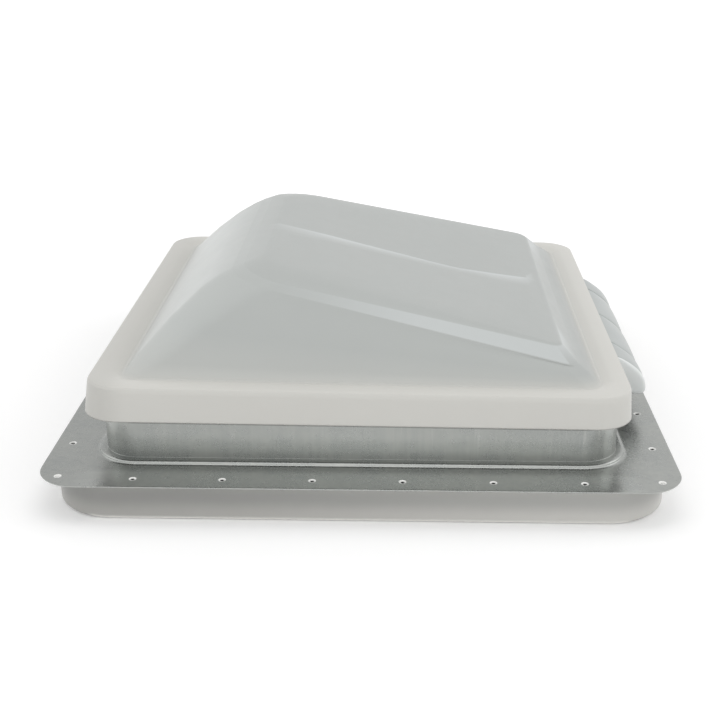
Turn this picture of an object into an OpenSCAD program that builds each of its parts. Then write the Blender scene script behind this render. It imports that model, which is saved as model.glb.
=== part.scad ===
// Caravan roof vent with a hinged dome lid, a crank operator and an inside garnish.
// The origin is the centre of the roof opening on the flange's underside, +Z out of the roof.
// The lid's hinge runs along Y on the +X side.

/* [Base pan] */
// Side of the square roof flange
flange_w = 457.2; // [450:0.1:470]
// Corner radius of the flange
flange_corner_r = 30; // [24:1:34]
// Thickness of the pressed steel sheet
sheet_t = 1; // [0.8:0.1:1.2]
// Distance of the upstand collar from the flange's edge
flange_margin = 40.6; // [39:0.1:43]
// Corner radius of the collar
collar_corner_r = 27; // [24:1:29]
// Height of the collar's top edge
collar_h = 48; // [46:0.5:48]
// Radius of the bead at the collar's foot
foot_r = 3; // [2:0.5:3.5]
// Width of the lip turned in at the collar's top
lip_w = 9; // [8:0.5:10]
// Diameter of the roof screw holes
screw_hole_d = 4.8; // [4.2:0.1:5.4]
// Distance between roof screws along a side
screw_pitch = 63.5; // [60:0.5:65]
// Distance of the screw rows from the flange's edge
screw_edge = 12.7; // [11:0.1:13]
// Distance of the corner screws from the flange's edges
corner_edge = 15.6; // [14:0.1:17]

/* [Lid] */
// How far the lid's bottom edge stands out from the collar
lid_overhang = 12; // [11:0.5:13]
// How much shorter the lid is on its hinge side
lid_hinge_inset = 4; // [3:0.5:5]
// How far the lid's bottom edge hangs below the collar's top
lid_lap = 13; // [12:0.5:13.5]
// Height of the rim's top above the collar
rim_rise = 9; // [8.5:0.5:10]
// Distance of the dome's foot from the lid's bottom edge
dome_inset = 28.5; // [28:0.5:30]
// How far the dome's foot lies below the rim's top
foot_drop = 0.8; // [0.5:0.1:1]
// How far the dome's free side leans in
free_lean = 83.5; // [81:0.5:87]
// How far the dome's hinge side leans in
hinge_lean = 31.5; // [30:0.5:35]
// How far the dome's front and rear lean in at the free side
side_free_lean = 59.5; // [56:0.5:61]
// How far the dome's front and rear lean in at the hinge side
side_hinge_lean = 31.5; // [30:0.5:34]
// Height of the dome above the rim on the free side
free_rise = 68; // [65:0.5:69]
// Height of the dome above the rim on the hinge side
hinge_rise = 23.3; // [21:0.1:24]
// Distance of the centre crease's bend from the dome's hinge side
crease_in = 98.5; // [92:0.5:107]
// Depth of the centre crease at its bend
crease_depth = 6.4; // [2:0.2:6.6]
// How far the rounding of the top's free edge reaches over the top
free_edge_round = 28; // [24:1:30]
// How far the rounding of the top's other edges reaches over the top
side_edge_round = 7; // [5:0.5:9]
// Wall of the dome, measured upright
dome_wall = 3; // [2.6:0.1:3.4]
// Angle at which the closed lid lies on its seal
rake = 0.8; // [0.4:0.1:1]

/* [Hinge] */
// Distance of the hinge axis outside the lid's bottom edge
hinge_out = 7; // [6:0.5:8]
// How far the hinge axis lies below the lid's bottom edge
hinge_drop = 4; // [3.5:0.5:5]
// Diameter of the hinge pin
hinge_pin_d = 4; // [3.5:0.1:4.2]
// Radius of the lid's hinge lobes
lobe_r = 9; // [8:0.5:9.5]
// Half length of the row of lobes
lobe_row = 96; // [92:1:100]
// Distance of the outer bracket knuckles from the middle one
knuckle_pitch = 68; // [60:1:70]
// Width of a bracket knuckle
knuckle_w = 5.4; // [4.6:0.1:5.6]
// Side clearance of a bracket knuckle
knuckle_gap = 0.5; // [0.4:0.1:0.8]

/* [Operator] */
// How far the arm's pivot lies behind the middle between the hinge and the top's free edge
pivot_back = 11.5; // [10:0.5:15]
// How far the arm's pivot lies below the hinge axis
pivot_drop = 7; // [6:0.5:7.5]
// Diameter of the pivot pin
pivot_pin_d = 6; // [5:0.5:6]
// Angle of the rail's slot above level with the lid closed
slot_angle = 9; // [8.5:0.1:9.2]
// Distance between the lift arm and the middle of the gears
arm_to_gear = 39.5; // [39:0.5:40]
// Thickness of the lift arm
arm_t = 2.5; // [2:0.1:2.8]
// Width of the lift arm
arm_w = 14; // [12:1:16]
// Diameter of the arm's roller
roller_d = 9; // [8:0.5:9]
// Clearance of the roller in its slot, each side
roller_gap = 0.3; // [0.3:0.05:0.5]
// Teeth that the sector would have as a full wheel
sector_teeth = 30; // [30:1:30]
// Pitch radius of the gear sector
sector_r = 18; // [17.5:0.1:18]
// Pitch radius of the worm
worm_r = 5; // [5:0.1:5.4]
// Height of a tooth above and below the pitch line
tooth_h = 1.2; // [1:0.1:1.2]
// Distance of the worm from the garnish's neck
worm_in = 43; // [42:0.5:44]
// Diameter of the worm shaft
shaft_d = 5; // [4.5:0.1:5]
// Diameter of the crank knob
knob_d = 38; // [34:1:38]

/* [Garnish and screen] */
// How far the garnish stands in from the flange's edge
garnish_in = 7.6; // [6.6:0.1:9.6]
// Corner radius of the garnish
garnish_corner_r = 45; // [40:1:48]
// How far the garnish reaches below the flange
garnish_h = 29; // [28.5:0.5:31]
// Wall of the garnish
garnish_t = 2.2; // [2:0.1:2.4]
// Radius of the garnish's bottom edge
garnish_edge_r = 4; // [3:0.5:4.5]
// Distance of the neck from the garnish's side
neck_in = 43; // [42:0.5:44]
// Distance of the screen frame from the outside of the neck
screen_in = 3.5; // [3:0.1:4]
// Gaps along one side of the mesh
mesh_n = 15; // [12:1:16]
// Diameter of the ceiling screw holes
ceiling_hole_d = 5; // [4.5:0.1:5.5]

/* [Hidden] */

$fn = 64;
touch = 0.05;
zinc_grey = [0.66, 0.67, 0.68];
steel_grey = [0.6, 0.6, 0.62];
milk_white = [0.86, 0.87, 0.88];
trim_grey = [0.62, 0.63, 0.64];
nylon_white = [0.9, 0.9, 0.88];

// Base pan
flange_c = flange_w / 2 - flange_corner_r;
collar_w = flange_w - 2 * flange_margin;
collar_c = collar_w / 2 - collar_corner_r;
collar_in = collar_w / 2 - sheet_t;
screw_row = flange_w / 2 - screw_edge;
corner_screw = flange_w / 2 - corner_edge;
screw_steps = [-2.5, -1.5, -0.5, 0.5, 1.5, 2.5];

// Lid
lid_half = collar_w / 2 + lid_overhang;
lid_shift = lid_hinge_inset;
skirt_x = lid_half - lid_shift;
dome_half = lid_half - dome_inset;
top_free_x = free_lean - dome_half;
top_hinge_x = dome_half - hinge_lean;
top_free_y = dome_half - side_free_lean;
top_hinge_y = dome_half - side_hinge_lean;
crease_x = dome_half - crease_in;
lid_bottom_z = collar_h - lid_lap;
rim_top_z = collar_h + rim_rise;
dome_foot_z = rim_top_z - foot_drop;
top_free_z = rim_top_z + free_rise;
top_hinge_z = rim_top_z + hinge_rise;
under_z = rim_top_z - dome_wall;
seal_h = 2 * rim_rise;
corner_steps = 8;
side_steps = 5;
top_slope = (top_free_z - top_hinge_z) / (top_hinge_x - top_free_x);

// Hinge
hinge_x = lid_half + hinge_out;
hinge_z = lid_bottom_z - hinge_drop;
pin_r = hinge_pin_d / 2;
pin_play = 0.05;
leaf_t = 1.5;
leaf_half = 80;
lobe_cut = knuckle_w / 2 + knuckle_gap;
knuckle_r = 5;
knuckles = [-knuckle_pitch, 0, knuckle_pitch];
leaf_z = 8;
leaf_h = 20;
leaf_rivets = [-34, 34];
rivet_z = 14;
rivet_rise = 20;
rivet_r = 2;

// Linkage: the arm is as long as the pivot's distance from the hinge, so it turns twice as far as the lid
pivot_x = (hinge_x + top_free_x) / 2 - pivot_back;
pivot_z = hinge_z - pivot_drop;
link_dx = hinge_x - pivot_x;
link_dz = hinge_z - pivot_z;
arm_len = sqrt(link_dx * link_dx + link_dz * link_dz);
link_angle = atan2(link_dz, link_dx);
lid_open = 60;
slot_far = 2 * arm_len * cos(link_angle + slot_angle);
slot_near = 2 * arm_len * cos(link_angle + slot_angle + lid_open);
arm_angle = link_angle + 2 * slot_angle;
tip_x = hinge_x - slot_far * cos(slot_angle);
tip_z = hinge_z + slot_far * sin(slot_angle);
roller_r = roller_d / 2;
slot_r = roller_r + roller_gap;
neck_half = flange_w / 2 - garnish_in - neck_in;
gear_y = neck_half - worm_in;
arm_y = gear_y - arm_to_gear;
web_y = arm_y + arm_t + 2;
web_t = 1.5;
rail_top = 30;
rail_flange_w = 14;
roller_pin_r = 2;
pad_near = 19;
pad_far = 54;
pad_w = 14;
pad_d = 13;
pad_h = 25;
pad_first = slot_near + pad_near;
pad_last = slot_far - pad_far;
rail_pad_at = [pad_first, (pad_first + pad_last) / 2, pad_last];

// Operator
pivot_r = pivot_pin_d / 2;
hub_r = 7;
cheek_t = 3;
plate_back = 27;
plate_w = 84;
plate_rivet = 7;
plate_rivets = [pivot_x - plate_back + plate_rivet, pivot_x - plate_back + plate_w - plate_rivet];
plate_rivets_z = [rivet_z, rivet_z + rivet_rise];
cheek_front = arm_y - 9.5;
cheek_rear = gear_y + 11;
sector_w = 4;
tooth_pitch = 360 / sector_teeth;
worm_pitch = 2 * PI * sector_r / sector_teeth;
worm_turns = 6;
worm_x = pivot_x + sector_r + worm_r;
worm_foot = pivot_z - worm_turns * worm_pitch / 2;
shaft_r = shaft_d / 2;
shaft_play = 0.05;
floor_z = 0.5;
floor_top = 3;
bridge_in = 10;
bridge_t = 4;
bridge_z = collar_h - bridge_in;
bridge_top = bridge_z + bridge_t;
bush_r = 4.5;
knob_top = -11;
knob_bottom = -27.5;

// Garnish and screen
garnish_half = flange_w / 2 - garnish_in;
garnish_c = garnish_half - garnish_corner_r;
garnish_top = -0.2;
neck_corner_r = 20;
neck_c = neck_half - neck_corner_r;
step_in = 27;
step_half = garnish_half - step_in;
ledge_z = 5;
screen_half = neck_half - screen_in;
screen_corner_r = 17;
screen_c = screen_half - screen_corner_r;
screen_bottom = -23.5;
screen_top = -17.5;
screen_lip = -20.9;
mesh_t = 0.6;
mesh_in = 6.7;
mesh_half = screen_half - mesh_in;
strand_w = 1.4;
strand_in = 12;
strand_half = mesh_half - strand_in;
port_x = 28;
port_back = 27;
port_y0 = gear_y - port_back;
port_r = 22;
clip_out = 7;
clip_u = neck_half + clip_out;
clip_in = 83;
clip_y = neck_half - clip_in;
clip_top = -garnish_h + ledge_z - 0.1;
clip_t = 2.2;
clip_screw_r = 1.5;
ceiling_in = 14;
ceiling_u = garnish_half - ceiling_in;
ceiling_back = 38;
ceiling_y = neck_half - ceiling_back;

function lerp(a, b, t) = a + (b - a) * t;
function clamp(v, lo, hi) = min(max(v, lo), hi);

// A profile swept round a rounded rectangle: the profile's x is measured out from the corner's centre
module swept_frame(cx, cy) {
    for (side = [0:3]) {
        out = side % 2 == 0 ? cx : cy;
        run = side % 2 == 0 ? cy : cx;
        rotate([0, 0, 90 * side]) translate([out, run, 0]) rotate([90, 0, 0])
            linear_extrude(2 * run) children();
        sx = side == 0 || side == 3 ? 1 : -1;
        sy = side < 2 ? 1 : -1;
        translate([sx * cx, sy * cy, 0]) rotate([0, 0, 90 * side])
            rotate_extrude(angle = 90) children();
    }
}

// A flat square with round corners, from its corner centres and its radius
module round_square(c, r) {
    square([2 * c, 2 * (c + r)], center = true);
    square([2 * (c + r), 2 * c], center = true);
    for (sx = [-1, 1], sy = [-1, 1]) translate([sx * c, sy * c]) circle(r);
}

// A cylinder along Y
module y_cylinder(r, y0, y1) {
    translate([0, y1, 0]) rotate([90, 0, 0]) cylinder(r = r, h = y1 - y0);
}

// An outline in X and Z, given a thickness along Y
module y_plate(y0, y1) {
    translate([0, y1, 0]) rotate([90, 0, 0]) linear_extrude(y1 - y0) children();
}

// The place of everything that is fixed to the lid
module lid_pose() {
    translate([hinge_x, 0, hinge_z]) rotate([0, rake, 0])
        translate([-hinge_x, 0, -hinge_z]) children();
}

// The place of the rail: its slot runs along -X from the hinge axis
module rail_pose() {
    translate([hinge_x, 0, hinge_z]) rotate([0, slot_angle, 0]) children();
}

module base_pan() {
    color(zinc_grey) difference() {
        union() {
            linear_extrude(sheet_t) difference() {
                round_square(flange_c, flange_corner_r);
                round_square(collar_c, collar_corner_r - sheet_t);
            }
            swept_frame(collar_c, collar_c) {
                union() {
                    translate([collar_corner_r - sheet_t, 0]) square([sheet_t, collar_h]);
                    translate([collar_corner_r - lip_w, collar_h - sheet_t]) square([lip_w, sheet_t]);
                    difference() {
                        translate([collar_corner_r - sheet_t / 2, sheet_t / 2])
                            square([foot_r + sheet_t / 2, foot_r + sheet_t / 2]);
                        translate([collar_corner_r + foot_r, sheet_t + foot_r]) circle(foot_r);
                    }
                }
            }
        }
        for (turn = [0:3], step = screw_steps)
            rotate([0, 0, 90 * turn]) translate([screw_row, step * screw_pitch, -1])
                cylinder(d = screw_hole_d, h = sheet_t + 2);
        for (sx = [-1, 1], sy = [-1, 1])
            translate([sx * corner_screw, sy * corner_screw, -1])
                cylinder(d = screw_hole_d, h = sheet_t + 2);
        for (x = plate_rivets, z = plate_rivets_z)
            translate([x, 0, z]) y_cylinder(rivet_r + touch, collar_in - 1, collar_w / 2 + 1);
        for (y = leaf_rivets)
            translate([collar_in - 1, y, rivet_z]) rotate([0, 90, 0])
                cylinder(r = rivet_r + touch, h = sheet_t + 2);
    }
}

module hinge_bracket() {
    x0 = collar_w / 2;
    color(steel_grey) difference() {
        union() {
            translate([x0, -leaf_half, leaf_z]) cube([leaf_t, 2 * leaf_half, leaf_h]);
            for (y = knuckles) {
                translate([hinge_x, 0, hinge_z]) y_cylinder(knuckle_r, y - knuckle_w / 2, y + knuckle_w / 2);
                y_plate(y - knuckle_w / 2, y + knuckle_w / 2)
                    polygon([[x0, leaf_z + leaf_h / 2], [x0, leaf_z + leaf_h],
                        [hinge_x - 0.6 * knuckle_r, hinge_z + 0.7 * knuckle_r],
                        [hinge_x, hinge_z], [hinge_x - 0.2 * knuckle_r, hinge_z - 0.9 * knuckle_r]]);
            }
        }
        translate([hinge_x, 0, hinge_z]) y_cylinder(pin_r + 0.02, -leaf_half - 1, leaf_half + 1);
        for (y = leaf_rivets)
            translate([x0 - 1, y, rivet_z]) rotate([0, 90, 0]) cylinder(r = rivet_r + touch, h = leaf_t + 2);
    }
}

module rivet(length) {
    cylinder(r = rivet_r, h = length);
    for (z = [-0.6 * rivet_r, length]) translate([0, 0, z]) cylinder(r = 1.8 * rivet_r, h = 0.6 * rivet_r);
}

module hinge_rivets() {
    color(steel_grey) for (y = leaf_rivets)
        translate([collar_in, y, rivet_z]) rotate([0, 90, 0]) rivet(sheet_t + leaf_t);
}

module hinge_pin() {
    color(steel_grey) translate([hinge_x, 0, hinge_z]) {
        y_cylinder(pin_r, -lobe_row - 0.4, lobe_row + 3);
        y_cylinder(pin_r + 1.6, -lobe_row - 2, -lobe_row - 0.4);
    }
}

module pin_clip() {
    color(steel_grey) translate([hinge_x, 0, hinge_z]) difference() {
        y_cylinder(pin_r + 2.2, lobe_row + 0.5, lobe_row + 1.5);
        y_cylinder(pin_r + 0.01, lobe_row, lobe_row + 2);
    }
}

// The lid is drawn as rings from its bottom edge to the crease: each ring is a rounded four-sided outline
// s holds the free side's x, the hinge side's x, their half widths, the corner radius and their heights
function ring_corner(s, c, a) =
    let (hinge_side = c == 0 || c == 3)
    let (x = hinge_side ? s[1] - s[4] : s[0] + s[4])
    let (y = (c < 2 ? 1 : -1) * ((hinge_side ? s[3] : s[2]) - s[4]))
    [x + s[4] * cos(a), y + s[4] * sin(a)];
function ring_flat(s) = [for (c = [0:3]) each concat(
    [for (i = [0:corner_steps]) ring_corner(s, c, 90 * (c + i / corner_steps))],
    [for (j = [1:side_steps]) lerp(ring_corner(s, c, 90 * (c + 1)),
        ring_corner(s, (c + 1) % 4, 90 * (c + 1)), j / (side_steps + 1))])];
function ring(s) = [for (p = ring_flat(s))
    [p[0], p[1], lerp(s[5], s[6], (p[0] - s[0]) / (s[1] - s[0]))]];
function level_ring(half, r, z, shift = 0) =
    ring([-half, half - shift, half, half, r, z, z]);
function top_z(x) = top_free_z - top_slope * (x - top_free_x);
function crease_dip(x) = x < crease_x
    ? crease_depth * (x - panel_x0) / (crease_x - panel_x0)
    : crease_depth * (panel_x1 - x) / (panel_x1 - crease_x);
function lowered(points, d) = [for (p = points) [p[0], p[1], p[2] - d]];

foot_ring = level_ring(dome_half, 16, dome_foot_z);
edge_ring = ring([top_free_x, top_hinge_x, top_free_y, top_hinge_y, 12, top_free_z, top_hinge_z]);
panel_x0 = top_free_x + free_edge_round;
panel_x1 = top_hinge_x - side_edge_round;
panel_ring = ring([panel_x0, panel_x1, top_free_y - side_edge_round, top_hinge_y - side_edge_round, 12,
    top_z(panel_x0), top_z(panel_x1)]);
crease_flat = ring_flat([panel_x0 + 3, panel_x1 - 3, 2, 2, 1.9, 0, 0]);
crease_ring = [for (p = crease_flat) [p[0], p[1], top_z(p[0]) - crease_dip(p[0])]];
crease_mid = [crease_x, 0, top_z(crease_x) - crease_depth];
function rounded_ring(t) = [for (i = [0:len(edge_ring) - 1])
    let (low = lerp(edge_ring[i], foot_ring[i], 0.24))
    (1 - t) * (1 - t) * low + 2 * t * (1 - t) * edge_ring[i] + t * t * panel_ring[i]];
dome_rings = concat([for (t = [0:0.2:1]) rounded_ring(t)], [crease_ring]);

outer_rings = concat([
    level_ring(lid_half, 30, lid_bottom_z, lid_shift),
    level_ring(lid_half, 30, lid_bottom_z + 1.6, lid_shift),
    level_ring(lid_half - 1, 29.5, lid_bottom_z + 2.4, lid_shift),
    level_ring(lid_half - 3, 29, rim_top_z - 6, lid_shift - 1),
    level_ring(lid_half - 4.2, 28, rim_top_z - 3, lid_shift - 1.6),
    level_ring(lid_half - 6.6, 27, rim_top_z - 0.8, lid_shift - 2.4),
    level_ring(lid_half - 10, 26, rim_top_z, lid_shift - 3),
    level_ring(lid_half - 20, 21, rim_top_z - 0.2),
    level_ring(dome_half + 3, 17.5, rim_top_z - 1.8),
    foot_ring], dome_rings);
inner_rings = concat([
    level_ring(lid_half - 2.6, 28, lid_bottom_z, lid_shift),
    level_ring(lid_half - 5, 26.5, rim_top_z - 6, lid_shift - 1),
    level_ring(lid_half - 8, 25, under_z, lid_shift - 2),
    level_ring(dome_half + 4, 17.5, under_z),
    level_ring(dome_half, 15, under_z - 1.6),
    level_ring(dome_half - 2.6, 14, dome_foot_z - dome_wall)],
    [for (r = dome_rings) lowered(r, dome_wall)]);

module lid() {
    n = len(foot_ring);
    a = len(outer_rings);
    b = len(inner_rings);
    first_in = n * a;
    mid_out = n * (a + b);
    points = concat([for (r = outer_rings) each r], [for (r = inner_rings) each r],
        [crease_mid, crease_mid - [0, 0, dome_wall]]);
    faces = concat(
        [for (k = [0:a - 2], i = [0:n - 1]) let (j = (i + 1) % n)
            each [[k * n + i, (k + 1) * n + j, k * n + j], [k * n + i, (k + 1) * n + i, (k + 1) * n + j]]],
        [for (i = [0:n - 1]) [(a - 1) * n + i, mid_out, (a - 1) * n + (i + 1) % n]],
        [for (k = [0:b - 2], i = [0:n - 1]) let (j = (i + 1) % n, o = first_in + k * n)
            each [[o + i, o + j, o + n + j], [o + i, o + n + j, o + n + i]]],
        [for (i = [0:n - 1]) let (o = first_in + (b - 1) * n) [o + i, o + (i + 1) % n, mid_out + 1]],
        [for (i = [0:n - 1]) let (j = (i + 1) % n)
            each [[i, j, first_in + j], [i, first_in + j, first_in + i]]]);
    color(milk_white) lid_pose() polyhedron(points = points, faces = faces);
}

// A point on the hinge side's skirt, at a height
function on_skirt(z) =
    [skirt_x - 1 - (z - lid_bottom_z - 2.4) / (rim_top_z - lid_bottom_z - 8.4) + 2 * touch, z];

module lobe(y0, y1) {
    end_r = 3.5;
    difference() {
        union() {
            translate([hinge_x, y1, hinge_z]) rotate([90, 0, 0]) rotate_extrude() {
                square([lobe_r - end_r, y1 - y0]);
                translate([0, end_r]) square([lobe_r, y1 - y0 - 2 * end_r]);
                for (v = [end_r, y1 - y0 - end_r]) translate([lobe_r - end_r, v]) circle(end_r);
            }
            y_plate(y0 + 1, y1 - 1)
                polygon([on_skirt(lid_bottom_z + 3), on_skirt(rim_top_z - 9),
                    [skirt_x + 1.5, rim_top_z - 10.2], [hinge_x - 5.5, hinge_z + 13.2],
                    [hinge_x + 2, hinge_z + lobe_r - 0.4],
                    [hinge_x, hinge_z], [hinge_x - 8, hinge_z + 2]]);
        }
        translate([hinge_x, 0, hinge_z]) y_cylinder(pin_r + pin_play, y0 - 1, y1 + 1);
    }
}

module hinge_hood() {
    cuts = [-lobe_row, for (y = knuckles) each [y - lobe_cut, y + lobe_cut], lobe_row];
    color(milk_white) lid_pose() {
        for (k = [0:3]) lobe(cuts[2 * k], cuts[2 * k + 1]);
        y_plate(-lobe_row + 1, lobe_row - 1)
            polygon([on_skirt(lid_bottom_z + 3), on_skirt(rim_top_z - 9),
                [skirt_x - 0.2, rim_top_z - 9.4], [skirt_x + 1.2, lid_bottom_z + 3]]);
    }
}

module lid_seal() {
    seat = collar_h + 0.3;
    color([0.2, 0.2, 0.2]) difference() {
        translate([0, 0, seat]) swept_frame(collar_c, collar_c)
            translate([collar_corner_r - lip_w + 0.5, 0]) square([lip_w - 1.5, seal_h]);
        lid_pose() translate([-1.5 * lid_half, -1.5 * lid_half, under_z - touch])
            cube([3 * lid_half, 3 * lid_half, 3 * seal_h]);
    }
}

module lift_rail() {
    x0 = -slot_far - 14;
    x1 = -slot_near + 14;
    color(steel_grey) rail_pose() difference() {
        union() {
            y_plate(web_y, web_y + web_t)
                polygon([[x0, -7], [x0, 9], [-slot_far + 26, rail_top], [x1 - 6, rail_top],
                    [x1, rail_top - 6], [x1, -7]]);
            translate([-slot_far + 34, web_y + web_t - rail_flange_w, rail_top - web_t])
                cube([slot_far - 34 - slot_near + 4, rail_flange_w, web_t]);
        }
        y_plate(web_y - 1, web_y + web_t + 1) {
            translate([-slot_far - 2, -slot_r]) square([slot_far - slot_near + 4, 2 * slot_r]);
            translate([-slot_far - 2, 0]) circle(slot_r);
            translate([-slot_near + 2, 0]) circle(slot_r);
        }
        for (s = rail_pad_at)
            translate([-s, web_y - 5, rail_top - 3]) cylinder(r = 1.6, h = 4);
    }
}

module rail_pads() {
    color(milk_white) difference() {
        rail_pose() for (s = rail_pad_at)
            translate([-s - pad_w / 2, web_y - pad_d + 1, rail_top]) cube([pad_w, pad_d, pad_h]);
        lid_pose() translate([top_free_x, -lid_half, top_free_z - dome_wall - 2.2])
            rotate([0, atan(top_slope), 0]) translate([-lid_half, 0, 0]) cube([3 * lid_half, 2 * lid_half, 80]);
        rail_pose() for (s = rail_pad_at)
            translate([-s, web_y - 5, rail_top - 1]) cylinder(r = 1.55, h = 4);
    }
}

module rail_screws() {
    color(steel_grey) rail_pose() for (s = rail_pad_at) translate([-s, web_y - 5, rail_top - web_t]) {
        cylinder(r = 1.5, h = web_t + 2.6);
        translate([0, 0, -1.8]) cylinder(r = 3, h = 1.8);
    }
}

// The arm lies along -X from its pivot before it is turned to its angle
module arm_pose() {
    translate([pivot_x, 0, pivot_z]) rotate([0, arm_angle, 0]) children();
}

module lift_arm() {
    color(steel_grey) arm_pose() y_plate(arm_y, arm_y + arm_t) difference() {
        union() {
            circle(hub_r + 4.5);
            translate([-arm_len, 0]) circle(arm_w / 2);
            translate([-arm_len, -arm_w / 2]) square([arm_len, arm_w]);
        }
        circle(hub_r + touch);
        translate([-arm_len, 0]) circle(roller_pin_r + 0.02);
    }
}

module sector_outline() {
    root = sector_r - 1.25 * tooth_h;
    tip = sector_r + tooth_h;
    span = [for (a = [-18:6:138]) a];
    polygon(concat([[0, 0]], [for (a = span) root * [cos(a), sin(a)]]));
    for (k = [-1.5:1:11.5]) rotate(k * tooth_pitch)
        polygon([[root - 1, -1], [root, -1], [tip, -0.38], [tip, 0.38], [root, 1], [root - 1, 1]]);
}

module arm_sector() {
    color(nylon_white) translate([pivot_x, 0, pivot_z]) difference() {
        union() {
            y_cylinder(hub_r, cheek_front + cheek_t + 0.3, cheek_rear - 0.3);
            y_cylinder(hub_r + 4, arm_y + arm_t + touch, arm_y + arm_t + 1.2);
            y_plate(gear_y - sector_w / 2, gear_y + sector_w / 2) sector_outline();
        }
        y_cylinder(pivot_r + 0.05, cheek_front, cheek_rear + cheek_t);
    }
}

module arm_roller() {
    color(nylon_white) translate([tip_x, 0, tip_z]) difference() {
        y_cylinder(roller_r, arm_y + arm_t + 0.4, web_y + web_t + 1.6);
        y_cylinder(roller_pin_r + 0.05, arm_y, web_y + web_t + 4);
    }
}

module roller_pin() {
    color(steel_grey) translate([tip_x, 0, tip_z]) {
        y_cylinder(roller_pin_r, arm_y, web_y + web_t + 4);
        y_cylinder(roller_pin_r + 2, arm_y - 1.5, arm_y);
    }
}

module roller_washer() {
    color(steel_grey) translate([tip_x, 0, tip_z]) difference() {
        y_cylinder(roller_r + 2.2, web_y + web_t + 1.9, web_y + web_t + 3);
        y_cylinder(roller_pin_r + 0.01, web_y, web_y + web_t + 5);
    }
}

module operator_body() {
    x0 = pivot_x - 16;
    x1 = worm_x + 13;
    color(zinc_grey) difference() {
        union() {
            translate([x0, cheek_front, floor_z]) cube([x1 - x0, collar_in - cheek_front, floor_top - floor_z]);
            translate([pivot_x - plate_back, collar_in - cheek_t, floor_z])
                cube([plate_w, cheek_t, bridge_top - floor_z]);
            translate([x0, cheek_front, floor_z]) cube([32, cheek_t, pivot_z + 9 - floor_z]);
            translate([x0, cheek_rear, floor_z]) cube([x1 - x0, cheek_t, bridge_top - floor_z]);
            translate([worm_x - 7.5, gear_y - 8, bridge_z])
                cube([15, cheek_rear - gear_y + 9, bridge_top - bridge_z]);
            for (x = [x0, x1 - 3])
                translate([x, cheek_rear + 1, floor_z]) cube([3, collar_in - cheek_rear - 2, bridge_top - floor_z]);
        }
        translate([pivot_x, 0, pivot_z]) y_cylinder(pivot_r + 0.02, cheek_front - 1, cheek_rear + cheek_t + 1);
        translate([worm_x, gear_y, floor_z - 1]) cylinder(r = bush_r + 0.05, h = bridge_top + 4);
        for (x = plate_rivets, z = plate_rivets_z)
            translate([x, 0, z]) y_cylinder(rivet_r + touch, collar_in - cheek_t - 1, collar_in + 1);
    }
}

module operator_rivets() {
    color(steel_grey) for (x = plate_rivets, z = plate_rivets_z)
        translate([x, collar_in - cheek_t, z]) rotate([-90, 0, 0]) rivet(cheek_t + sheet_t);
}

module pivot_pin() {
    color(steel_grey) translate([pivot_x, 0, pivot_z]) {
        y_cylinder(pivot_r, cheek_front - 0.2, cheek_rear + cheek_t + 2.4);
        y_cylinder(pivot_r + 2, cheek_front - 2, cheek_front - 0.2);
    }
}

module pivot_clip() {
    color(steel_grey) translate([pivot_x, 0, pivot_z]) difference() {
        y_cylinder(pivot_r + 2, cheek_rear + cheek_t + 0.3, cheek_rear + cheek_t + 1.3);
        y_cylinder(pivot_r + 0.01, cheek_rear, cheek_rear + cheek_t + 4);
    }
}

// The worm's section: the thread fills about a third of the turn, with sloping flanks
function thread_r(a) =
    let (off = abs(a - 180))
    let (low = worm_r - 1.25 * tooth_h)
    off <= 40 ? worm_r + tooth_h : off >= 85 ? low : lerp(worm_r + tooth_h, low, (off - 40) / 45);

module worm() {
    color(nylon_white) translate([worm_x, gear_y, 0]) difference() {
        union() {
            translate([0, 0, worm_foot])
                linear_extrude(worm_turns * worm_pitch, twist = -360 * worm_turns, slices = 16 * worm_turns, $fn = 16)
                    polygon([for (a = [0:20:340]) thread_r(a) * [cos(a), sin(a)]]);
            translate([0, 0, floor_top + 1.5]) cylinder(r = worm_r + 1, h = worm_foot - floor_top - 2);
            translate([0, 0, floor_top + 1.5]) cylinder(r = 3.4, h = bridge_z - 1.5 - floor_top - 1.5);
        }
        translate([0, 0, -1]) cylinder(r = shaft_r + 0.02, h = bridge_top + 4);
    }
}

module worm_shaft() {
    color(steel_grey) translate([worm_x, gear_y, 0]) difference() {
        translate([0, 0, knob_bottom + 5]) cylinder(r = shaft_r, h = bridge_top + 1 - knob_bottom - 5);
        translate([0, 0, knob_bottom + 4]) cylinder(r = 1.25, h = 11);
    }
}

module bush(z0, z1, flange_z) {
    difference() {
        union() {
            translate([0, 0, z0]) cylinder(r = bush_r, h = z1 - z0);
            translate([0, 0, flange_z]) cylinder(r = 6.4, h = 1.1);
        }
        translate([0, 0, z0 - 2]) cylinder(r = shaft_r + shaft_play, h = z1 - z0 + 4);
    }
}

module upper_bush() {
    color(nylon_white) translate([worm_x, gear_y, 0]) bush(bridge_z - 1.1, bridge_top, bridge_z - 1.1 - touch);
}

module lower_bush() {
    color(nylon_white) translate([worm_x, gear_y, 0]) bush(floor_z, floor_top + 1.1, floor_top + touch);
}

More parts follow.
